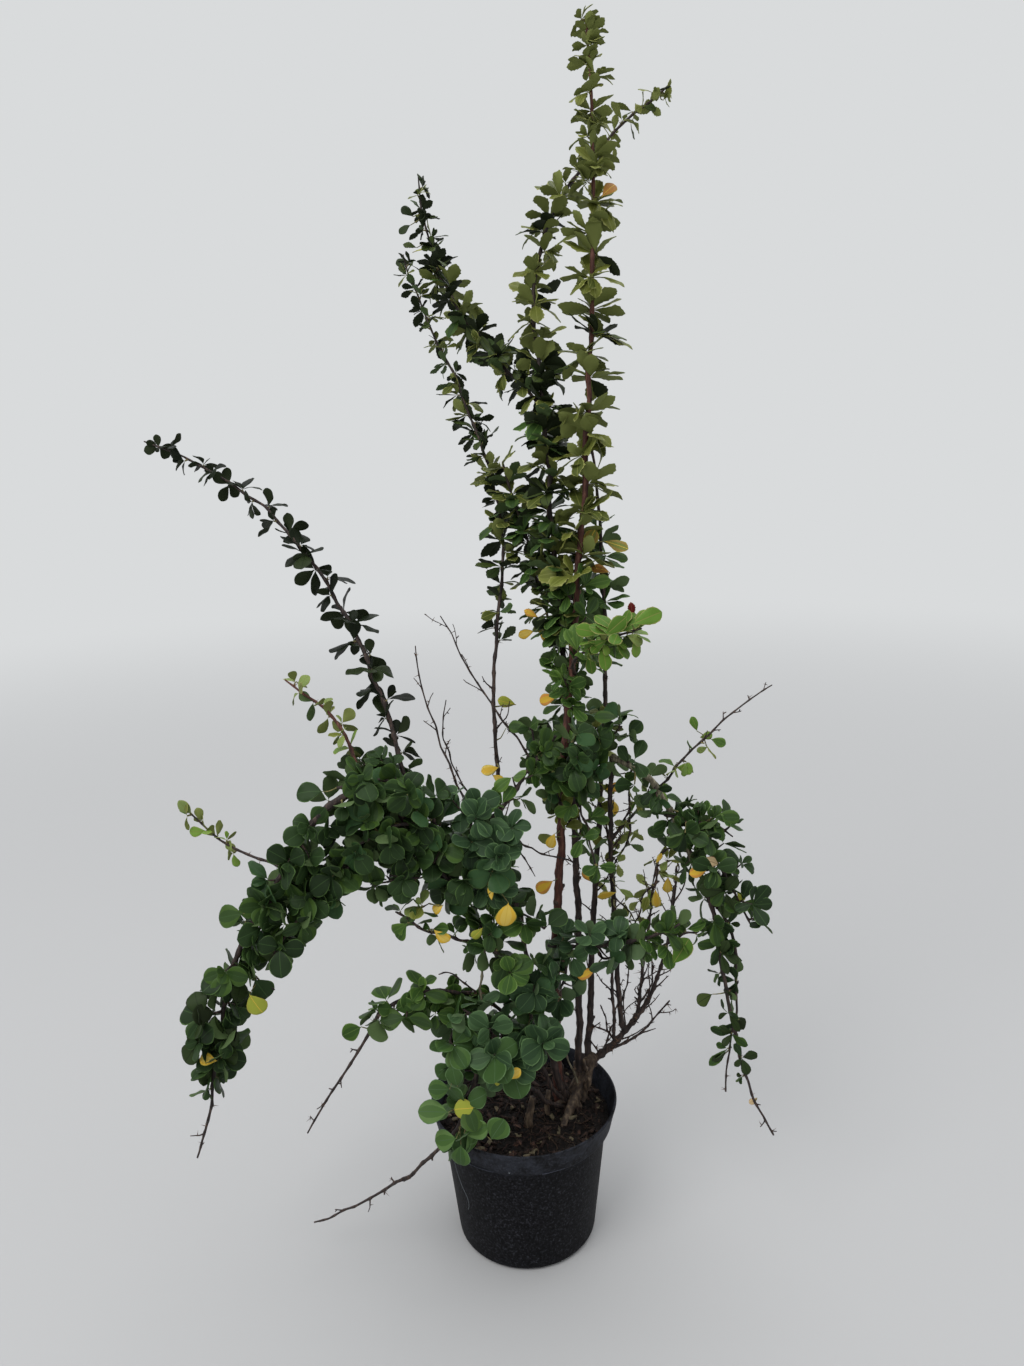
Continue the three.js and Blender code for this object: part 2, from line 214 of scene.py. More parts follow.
def frames_along(path, s):
    p = path.at(s)
    t = unit(np.gradient(p, axis=0))
    side = np.zeros_like(t)
    side[0] = across(t[0])
    for i in range(1, len(t)):
        v = side[i - 1] - t[i] * (side[i - 1] @ t[i])
        side[i] = unit(v)
    return p, t, side, np.cross(t, side)


def tube(batch, path, r0, r1, mat, seed, step=3.5, sides=10, ridge=0.07, lobes=5, rough=0.05,
         nodes=(), swell=0.45, flare=0.0, power=0.85, tip=0.9):
    """A limb with the ribs, roughness and swollen nodes of its bark."""
    n = max(3, int(path.length / step))
    s = np.linspace(0, path.length, n + 1)
    p, t, a, b = frames_along(path, s)
    r = r1 + (r0 - r1) * (1 - s / path.length) ** power
    r = r * (1 + flare * np.exp(-s / (4 * r0 + 2)))
    ang = np.linspace(0, 2 * math.pi, sides, endpoint=False)
    phase = (seed % 97) * 0.37
    shape = 1 + ridge * np.cos(lobes * ang[None, :] + phase + 0.02 * s[:, None])
    if rough:
        rng = np.random.default_rng(seed)
        shape = shape + rough * rng.normal(0, 1, shape.shape) * 0.6
    for sn, direction in nodes:
        i = np.clip(np.searchsorted(s, sn), 0, n)
        facing = 0.5 + 0.5 * np.cos(ang - math.atan2(direction @ b[i], direction @ a[i]))
        near = np.exp(-((s - sn) / 2.6) ** 2)
        shape = shape + swell * near[:, None] * (0.35 + 0.65 * facing[None, :])
    ring = (np.cos(ang)[None, :, None] * a[:, None, :] + np.sin(ang)[None, :, None] * b[:, None, :])
    v = p[:, None, :] + ring * (r[:, None] * shape)[..., None]
    v = np.concatenate([v.reshape(-1, 3), [p[0] - t[0] * r[0] * 0.3, p[-1] + t[-1] * r[-1] * tip]])
    batch.add(v, np.concatenate([grid_faces(n + 1, sides), caps(n + 1, sides)]), mat)


def cone(batch, base, direction, length, radius, mat, sides=5):
    d = unit(direction)
    a = across(d)
    b = np.cross(d, a)
    ang = np.linspace(0, 2 * math.pi, sides, endpoint=False)
    ring = base + radius * (np.cos(ang)[:, None] * a + np.sin(ang)[:, None] * b)
    v = np.concatenate([ring, [base - d * radius], [base + d * length]])
    batch.add(v, caps(1, sides), mat)


# ---------------------------------------------------------------- leaves

# Half widths of a leaf along its length, as shares of the length, and how far its teeth stand out.
STATIONS = [0.09, 0.21, 0.37, 0.54, 0.70, 0.85, 0.95]
KINDS = {
    "round": ([0.026, 0.185, 0.325, 0.400, 0.395, 0.300, 0.160], 0.035),
    "obovate": ([0.024, 0.110, 0.215, 0.290, 0.310, 0.252, 0.130], 0.050),
    "elliptic": ([0.022, 0.082, 0.152, 0.208, 0.226, 0.166, 0.066], 0.210),
    "narrow": ([0.024, 0.080, 0.130, 0.155, 0.150, 0.100, 0.042], 0.080),
    "oblong": ([0.024, 0.098, 0.182, 0.244, 0.264, 0.212, 0.104], 0.080),
}


def leaf_template(kind):
    """Points (along, across, layer, part) and triangles of one leaf. It is a closed lens: both faces share the margin."""
    widths, tooth = KINDS[kind]
    pts, index = [(0.0, 0.0, 0.0, 0)], {}
    for i, (u, w) in enumerate(zip(STATIONS, widths)):
        rib = min(0.011, w * 0.3)
        row = [("mL", -w, 0, 0), ("iL", -w * 0.93, 1, 1), ("cL", -w * 0.52, 1, 2), ("rL", -rib, 1, 3),
               ("rR", rib, 1, 3), ("cR", w * 0.52, 1, 2), ("iR", w * 0.93, 1, 1), ("mR", w, 0, 0),
               ("bL", -w * 0.52, -1, 2), ("bC", 0, -1, 3), ("bR", w * 0.52, -1, 2)]
        for key, x, layer, part in row:
            index[key, i] = len(pts)
            pts.append((u + (0.0 if part != 2 else 0.012 * (-1) ** i), x, layer, part))
        if 0 < i < len(STATIONS):
            nxt_u = STATIONS[i + 1] if i + 1 < len(STATIONS) else 1.0
            nxt_w = widths[i + 1] if i + 1 < len(STATIONS) else 0.0
            tu = u + 0.66 * (nxt_u - u)
            tw = (w + (nxt_w - w) * 0.60) * (1 + tooth)
            for sign, key in ((-1, "tL"), (1, "tR")):
                index[key, i] = len(pts)
                pts.append((tu, sign * tw, 0.0, 0))
    last = len(STATIONS) - 1
    tip = len(pts)
    pts.append((1.0, 0.0, 0.0, 0))
    tris, tag = [], []

    def tri(a, b, c, t):
        tris.append((a, b, c))
        tag.append(t)

    def quad(a, b, c, d, t):
        tri(a, b, c, t)
        tri(a, c, d, t)

    q = lambda key, i: index[key, i]
    top = ["mL", "iL", "cL", "rL", "rR", "cR", "iR", "mR"]
    tops = [1, 0, 4, 2, 4, 0, 1]
    under = ["mR", "bR", "bC", "bL", "mL"]
    for k in range(7):
        tri(0, q(top[k + 1], 0), q(top[k], 0), tops[k])
        if 0 < k < 6:
            tri(tip, q(top[k], last), q(top[k + 1], last), tops[k])
    for sgn, m, inner, t in ((1, "mL", "iL", "tL"), (-1, "mR", "iR", "tR")):
        f = (q(m, last), q(inner, last), q(t, last))
        g = (q(t, last), q(inner, last), tip)
        for tr in (f, g):
            tri(*(tr if sgn > 0 else tr[::-1]), 1)
    for k in range(4):
        tri(0, q(under[k + 1], 0), q(under[k], 0), 3)
        if 0 < k < 3:
            tri(tip, q(under[k], last), q(under[k + 1], last), 3)
    for sgn, m, inner, t in ((1, "mR", "bR", "tR"), (-1, "mL", "bL", "tL")):
        f = (q(m, last), q(inner, last), q(t, last))
        g = (q(t, last), q(inner, last), tip)
        for tr in (f, g):
            tri(*(tr if sgn > 0 else tr[::-1]), 3)
    for i in range(last):
        for k in range(1, 6):
            quad(q(top[k], i), q(top[k + 1], i), q(top[k + 1], i + 1), q(top[k], i + 1), tops[k])
        for k in range(1, 3):
            quad(q(under[k], i), q(under[k + 1], i), q(under[k + 1], i + 1), q(under[k], i + 1), 3)
        for sgn, m, inner, t, mark in ((1, "mL", "iL", "tL", 1), (-1, "mR", "iR", "tR", 1),
                                       (1, "mR", "bR", "tR", 3), (-1, "mL", "bL", "tL", 3)):
            if (t, i) in index:
                faces = [(q(m, i), q(inner, i), q(t, i)), (q(t, i), q(inner, i), q(inner, i + 1)),
                         (q(t, i), q(inner, i + 1), q(m, i + 1))]
            else:
                faces = [(q(m, i), q(inner, i), q(inner, i + 1)), (q(m, i), q(inner, i + 1), q(m, i + 1))]
            for tr in faces:
                tri(*(tr if sgn > 0 else tr[::-1]), mark)
    pts = np.array(pts)
    return pts, np.array(tris), np.array(tag)


TEMPLATES = {k: leaf_template(k) for k in KINDS}


class Foliage:
    """The leaves of one mass, gathered as numbers and made into one mesh at the end."""

    def __init__(self):
        self.rows = {k: [] for k in KINDS}

    def leaf(self, rng, base, axis, normal, length, kind, colour, wide=1.0, curl=None, fold=None):
        axis = unit(axis)
        normal = unit(normal - axis * (normal @ axis))
        self.rows[kind].append((base, axis, normal, length, wide * rng.uniform(0.9, 1.1),
                                rng.normal(0.16, 0.10) if fold is None else fold,
                                rng.normal(0.25, 0.28) if curl is None else curl,
                                rng.uniform(0, 6.28), rng.uniform(0.4, 1.4), rng.normal(0, 0.22), colour))

    def count(self):
        return sum(len(r) for r in self.rows.values())

    def build(self, name):
        batch = Batch()
        for kind, rows in self.rows.items():
            if not rows:
                continue
            pts, tris, tag = TEMPLATES[kind]
            base, axis, normal = (np.array([r[i] for r in rows], float)[:, None, :] for i in range(3))
            length, wide, fold, curl, phase, wave, twist = (
                np.array([r[i] for r in rows], float)[:, None] for i in range(3, 10))
            u, x, layer, part = pts.T
            half = max(KINDS[kind][0])
            y = u[None] * length
            xx = x[None] * length * wide
            edge = (x[None] / half) ** 2
            thick = 0.16 + 0.10 * (part == 3)
            z = (fold * abs(xx) - 0.9 * fold * xx ** 2 / (half * length)
                 + wave * 0.035 * length * edge * np.sin(u[None] * 9.0 + phase)
                 + np.where(part == 2, 0.010, 0.0)[None] * length * layer[None] * 0.6
                 + layer[None] * thick[None])
            turn = curl * u[None] * 1.6
            safe = np.where(abs(curl) < 1e-3, 1e-3, curl) * 1.6 / length
            along = np.sin(turn) / safe
            drop = -(1 - np.cos(turn)) / safe
            yy = along + z * np.sin(turn)
            zz = drop + z * np.cos(turn)
            ta = twist * u[None]
            xr, zr = xx * np.cos(ta) + (zz - drop) * np.sin(ta), drop + (zz - drop) * np.cos(ta) - xx * np.sin(ta)
            side = np.cross(axis, normal)
            v = base + xr[..., None] * side + yy[..., None] * axis + zr[..., None] * normal
            n, m = len(rows), len(pts)
            f = (tris[None] + (np.arange(n) * m)[:, None, None]).reshape(-1, 3)
            looks = np.array([[batch.slot(s) for s in (*COLOURS[r[10]], INNER.get(r[10], COLOURS[r[10]][0]))] for r in rows])
            mats = looks[:, tag].reshape(-1)
            batch.add(v.reshape(-1, 3), f, mats, np.tile(part == 0, n))
        return batch.build(name)


# ---------------------------------------------------------------- colours

def srgb(r, g, b):
    f = lambda c: c / 12.92 if c <= 0.04045 else ((c + 0.055) / 1.055) ** 2.4
    return tuple(f(c / 255) for c in (r, g, b))


LEAF_TONES = {
    "deep_a": (45, 65, 31), "deep_b": (37, 55, 28), "deep_c": (57, 79, 33), "deep_d": (31, 46, 25), "deep_e": (49, 75, 44),
    "teal_a": (52, 74, 46), "teal_b": (64, 88, 56), "teal_c": (42, 62, 39),
    "mid_a": (62, 88, 36), "mid_b": (76, 102, 42), "mid_c": (50, 74, 32),
    "olive_a": (92, 98, 42), "olive_b": (106, 112, 52), "olive_c": (72, 80, 34),
    "pale_olive_a": (116, 122, 66), "pale_olive_b": (98, 104, 50),
    # Painted shade: darker copies of the olive and green tones, for leaves in shade such as the backlit upper-left
    # shoots.
    "dusk_a": (39, 52, 25), "dusk_b": (31, 42, 21), "dusk_c": (56, 68, 31),
    # Painted shade: near-black greens that stand for the shade on the backlit leaves of the far-left shoot.
    "night_a": (11, 17, 8), "night_b": (17, 25, 11), "night_c": (36, 46, 24),
    "bright_a": (84, 116, 42), "bright_b": (102, 130, 54), "bright_c": (72, 102, 36),
    "light_a": (114, 130, 72),
    "low_a": (64, 90, 44), "low_b": (54, 78, 40), "low_c": (84, 110, 60),
    "yellow_a": (202, 164, 58), "yellow_b": (204, 176, 84), "lime": (142, 148, 56),
    "orange": (194, 136, 66), "amber": (152, 108, 54), "bronze": (130, 110, 54), "red": (98, 30, 32), "dry": (132, 92, 58), "buff": (196, 172, 132),
    # The paler margins of the green tones (rim_deep, rim_mid, rim_olive, rim_teal) are partly the leaves' own paler
    # edge and partly a painted edge highlight.
    "rim_deep": (64, 87, 45), "rim_mid": (97, 121, 61), "rim_olive": (129, 131, 75), "rim_gold": (150, 142, 62),
    "rim_dry": (112, 78, 52), "rim_teal": (82, 108, 68), "rib_teal": (66, 90, 58), "under_teal": (80, 100, 68),
    # Margin, midrib and underside for the painted-shade greens: painted shade as well, where other leaves have paler
    # undersides.
    "rim_dark": (30, 38, 20), "rib_dark": (27, 35, 18), "under_dark": (36, 44, 26),
    "rib_deep": (52, 74, 40), "rib_mid": (82, 106, 52), "rib_olive": (112, 116, 60), "rib_gold": (196, 164, 66),
    "under_deep": (76, 94, 58), "under_olive": (112, 120, 66), "under_gold": (190, 164, 78), "under_dry": (142, 112, 80),
}
# The four looks of a leaf: upper face, margin, midrib, underside.
COLOURS = {}
for _name in LEAF_TONES:
    _kin = _name.rsplit("_", 1)[0]
    if _kin == "deep":
        COLOURS[_name] = (_name, "rim_deep", "rib_deep", "under_deep")
    # the painted-shade greens keep painted shade on their margin, midrib and underside too
    elif _kin in ("dusk", "night"):
        COLOURS[_name] = (_name, "rim_dark", "rib_dark", "under_dark")
    elif _kin in ("teal", "low"):
        COLOURS[_name] = (_name, "rim_teal", "rib_teal", "under_teal")
    elif _kin == "mid":
        COLOURS[_name] = (_name, "rim_mid", "rib_mid", "under_deep")
    elif _kin in ("olive", "pale_olive", "bright", "light"):
        COLOURS[_name] = (_name, "rim_olive", "rib_olive", "under_olive")
    elif _kin == "yellow" or _name in ("orange", "amber", "bronze", "lime"):
        COLOURS[_name] = (_name, "rim_gold", "rib_gold", "under_gold")
    elif _name in ("red", "dry", "buff"):
        COLOURS[_name] = (_name, "rim_dry", "rim_dry", "under_dry")
# The zone beside the midrib, where it differs from the rest of the blade: for the green tones a darker green, painted
# shade in the fold along the midrib; for the yellow, orange and bronze leaves another tone of their turning colour.
INNER = {"deep_a": "deep_b", "deep_c": "deep_a", "teal_a": "teal_c", "teal_b": "teal_a", "mid_a": "mid_c", "mid_b": "mid_a",
         "low_a": "low_b", "low_c": "low_a", "olive_b": "olive_a", "pale_olive_a": "pale_olive_b", "yellow_a": "yellow_b",
         "yellow_b": "yellow_a", "orange": "yellow_a", "bronze": "olive_b"}
# Several families below also deal out the darker painted-shade greens among their own tones.
FAMILIES = {
    "deep": (["deep_a", "deep_b", "deep_c", "deep_d", "deep_e"], [3, 3, 2.4, 1.6, 1.3]),
    "deep_dark": (["deep_b", "deep_d", "deep_a", "dusk_a", "deep_c"], [3, 2.6, 2.4, 1.4, 1.4]),
    "deep_mid": (["deep_a", "deep_b", "deep_c", "mid_c", "mid_a", "deep_e"], [3, 2, 3, 2, 1, 1]),
    "mid": (["mid_a", "mid_b", "mid_c", "deep_c", "lime"], [3, 2, 3, 2, 0.06]),
    "olive": (["olive_a", "olive_b", "olive_c", "dusk_c", "lime"], [3, 2.4, 3, 0.8, 0.08]),
    "high_olive": (["olive_c", "olive_a", "dusk_c"], [3, 3, 0.9]),
    "hang_dark": (["deep_d", "dusk_a", "deep_b", "deep_a"], [3, 2.6, 2, 1.2]),
    "teal_light": (["teal_b", "teal_a", "low_b", "low_a"], [3.4, 2.2, 1, 0.8]),
    "mid_olive": (["olive_c", "dusk_c", "deep_c", "mid_c", "dusk_a", "olive_a"], [2.4, 2.4, 2.4, 1.4, 1.6, 0.8]),
    "pale_olive": (["pale_olive_a", "pale_olive_b", "olive_b"], [3, 3, 2]),
    # painted shade: darker greens for backlit shoots
    "dusk": (["dusk_a", "dusk_b", "dusk_c", "olive_c", "deep_c"], [3, 2, 2.6, 1.2, 1.2]),
    "painted_shade_olive": (["dusk_c", "olive_c", "dusk_a", "deep_c"], [3, 2.4, 2, 1.4]),
    # painted shade: the near-black greens of the backlit far-left shoot
    "night": (["night_a", "night_b", "night_c"], [3, 2.6, 1.4]),
    "teal": (["teal_a", "teal_b", "teal_c", "deep_e", "mid_c"], [3, 2, 2.4, 1.5, 0.6]),
    "bright": (["bright_a", "bright_b", "bright_c", "mid_b"], [3, 2, 3, 1]),
    "light": (["light_a", "bright_b", "olive_b", "mid_b"], [3, 2, 1.5, 1]),
    "low": (["low_a", "low_b", "low_c", "deep_c"], [3, 3, 2, 0.8]),
}


def dealt(rng, family, k):
    """Colours for a spray of k leaves: mostly one tone, as leaves of one spur are alike."""
    tones, weight = FAMILIES[family]
    weight = np.array(weight) / sum(weight)
    common = np.where([t == "lime" for t in tones], 0.0, weight)        # a turned leaf never leads a spray
    lead = rng.choice(len(tones), p=common / common.sum())
    return [tones[lead] if rng.random() < 0.6 else tones[rng.choice(len(tones), p=weight)] for _ in range(k)]


MATERIALS = {}


def principled(name, colour, roughness, specular=0.5):
    mat = bpy.data.materials.new(name)
    mat.use_nodes = True
    bsdf = mat.node_tree.nodes["Principled BSDF"]
    bsdf.inputs["Base Color"].default_value = (*colour, 1)
    bsdf.inputs["Roughness"].default_value = roughness
    bsdf.inputs["Specular IOR Level"].default_value = specular
    MATERIALS[name] = mat
    return mat, bsdf, mat.node_tree.nodes, mat.node_tree.links


for _name, _rgb in LEAF_TONES.items():
    principled(_name, srgb(*_rgb), 0.7 if _name.startswith("under") else 0.46, 0.10)


def bark_material(name, dark, mid, pale, stretch=0.16, scale=420, bump=0.5):
    """Bark with streaks along the limb, dark to pale, and a fine flecked relief."""
    mat, bsdf, nodes, links = principled(name, mid, 0.75, 0.35)
    coord = nodes.new("ShaderNodeTexCoord")
    mapping = nodes.new("ShaderNodeMapping")
    mapping.inputs["Scale"].default_value = (1, 1, stretch)
    links.new(coord.outputs["Object"], mapping.inputs["Vector"])
    streak = nodes.new("ShaderNodeTexNoise")
    streak.inputs["Scale"].default_value = scale
    streak.inputs["Detail"].default_value = 4
    links.new(mapping.outputs["Vector"], streak.inputs["Vector"])
    ramp = nodes.new("ShaderNodeValToRGB")
    ramp.color_ramp.elements[0].position, ramp.color_ramp.elements[0].color = 0.34, (*dark, 1)
    ramp.color_ramp.elements[1].position, ramp.color_ramp.elements[1].color = 0.72, (*pale, 1)
    middle = ramp.color_ramp.elements.new(0.52)
    middle.color = (*mid, 1)
    links.new(streak.outputs["Fac"], ramp.inputs["Fac"])
    links.new(ramp.outputs["Color"], bsdf.inputs["Base Color"])
    fleck = nodes.new("ShaderNodeTexNoise")
    fleck.inputs["Scale"].default_value = scale * 2.2
    fleck.inputs["Detail"].default_value = 3
    links.new(coord.outputs["Object"], fleck.inputs["Vector"])
    lift = nodes.new("ShaderNodeBump")
    lift.inputs["Strength"].default_value = bump
    lift.inputs["Distance"].default_value = 0.0006
    links.new(fleck.outputs["Fac"], lift.inputs["Height"])
    links.new(lift.outputs["Normal"], bsdf.inputs["Normal"])


bark_material("bark_red", srgb(50, 30, 26), srgb(80, 46, 38), srgb(112, 75, 61))
bark_material("bark_dark", srgb(30, 25, 24), srgb(48, 38, 35), srgb(82, 66, 58))
bark_material("bark_grey", srgb(62, 56, 46), srgb(98, 92, 74), srgb(140, 134, 112))
bark_material("bark_crown", srgb(38, 30, 25), srgb(70, 57, 46), srgb(112, 96, 78), stretch=0.3, scale=260, bump=1.0)
bark_material("twig_dark", srgb(32, 25, 24), srgb(50, 38, 34), srgb(78, 58, 48))
bark_material("twig_green", srgb(70, 72, 44), srgb(104, 100, 60), srgb(140, 124, 80))
bark_material("spine", srgb(54, 38, 30), srgb(82, 58, 42), srgb(122, 92, 66))


# ---------------------------------------------------------------- the limbs

# name: foot, tip, how it leaves its foot, how it arrives at its tip, radius at foot and tip, bark
LIMBS = {
    "stem_tall": ((35, 6, 132), (82, 70, 1136), (-10, 13, 334), (-20, 34, 335), 4.6, 0.9, "bark_red"),
    "stem_rear": ((68, 23, 165), (81, 75, 788), (6, 37, 206), (-30, 25, 207), 3.3, 1.1, "bark_dark"),
    "stem_mid": ((58, 18, 165), (35, 90, 871), (9, 34, 234), (-11, 74, 228), 3.4, 1.8, "bark_dark"),
    "stem_mid_top": ((35, 90, 871), (162, 130, 1102), (-13, 21, 117), (87, 6, 66), 1.8, 0.8, "bark_dark"),
    "stem_thorny": ((74, 24, 168), (163, 60, 362), (68, 6, 41), (3, 6, 74), 3.6, 0.9, "bark_dark"),
    "bough_right_rise": ((103, 28, 204), (91, 0, 500), (-6, 29, 96), (-1, -33, 93), 2.6, 2.0, "bark_dark"),
    "bough_right_arch": ((91, 0, 500), (175, -23, 383), (50, -6, -11), (22, -8, -40), 2.9, 2.3, "bark_grey"),
    "bough_right_hang": ((175, -23, 383), (237, -60, 137), (21, -10, -81), (44, -12, -74), 2.2, 0.8, "bark_dark"),
    "twig_right_hang": ((182, -26, 365), (194, -45, 175), (45, -2, -58), (0, -8, -65), 1.5, 0.7, "bark_dark"),
    "twig_right_out": ((93, 30, 407), (258, 70, 547), (51, 15, 47), (59, 23, 24), 1.4, 0.6, "bark_dark"),
    "twig_thorny_mid": ((120, 33, 212), (143, 65, 361), (7, 7, 50), (6, 9, 50), 1.5, 0.7, "bark_dark"),
    "twig_thorny_low": ((92, 24, 180), (152, 30, 228), (25, -5, 10), (18, 4, 18), 1.6, 0.7, "bark_dark"),
    "stem_left": ((42, 18, 145), (-6, 80, 651), (-47, 23, 165), (28, 54, 165), 2.4, 1.5, "bark_dark"),
    "shoot_left_tall": ((-6, 80, 651), (-95, 190, 976), (17, 37, 114), (-33, 24, 110), 1.5, 0.7, "bark_dark"),
    "bough_upper_left": ((35, 80, 821), (-78, 220, 1057), (-64, 55, 73), (-7, 24, 117), 1.7, 0.7, "bark_dark"),
    "bough_left_rise": ((40, 4, 145), (-110, -75, 502), (-30, -1, 130), (-54, -19, 117), 3.4, 3.1, "bark_dark"),
    "bough_left_arch": ((-110, -75, 502), (-211, -104, 414), (-54, -10, 12), (-23, -10, -38), 3.2, 2.4, "bark_dark"),
    "bough_left_hang": ((-211, -104, 414), (-290, -120, 180), (-59, -13, -67), (-34, 3, -76), 2.4, 0.8, "bark_dark"),
    "shoot_far_left": ((-94, -50, 492), (-337, 80, 799), (-37, 63, 139), (-152, 31, 53), 2.2, 0.7, "bark_dark"),
    "shoot_left_short": ((-135, -70, 511), (-198, -30, 590), (2, 19, 37), (-31, 13, 18), 1.7, 0.7, "bark_red"),
    "twig_left_out": ((-213, -90, 445), (-281, -80, 494), (-26, 8, 4), (-14, -2, 23), 1.2, 0.6, "bark_dark"),
    "bough_low_rise": ((36, -2, 142), (-128, -80, 292), (-45, -2, 89), (-102, -35, -39), 2.0, 1.4, "bark_dark"),
    "twig_low_tip": ((-128, -80, 292), (-196, -100, 186), (-18, -8, -37), (-21, 0, -37), 1.4, 0.7, "bark_dark"),
    "bough_front_rise": ((34, -10, 138), (-40, -68, 259), (-37, -17, 33), (-21, -28, 38), 2.2, 1.9, "bark_dark"),
    "bough_front_hang": ((-40, -68, 259), (-214, -35, 33), (-2, -32, -110), (-81, 21, -52), 2.1, 0.8, "bark_dark"),
    "twig_bare_left": ((-44, -10, 464), (-87, 20, 607), (-18, 4, 47), (-3, 8, 51), 1.1, 0.5, "bark_dark"),
    "twig_bare_mid": ((13, 10, 504), (-64, 40, 631), (-29, 6, 42), (-21, 10, 46), 1.1, 0.5, "bark_dark"),
}
SCENE_ONLY = {"bough_right_arch", "twig_right_hang", "bough_left_arch"}

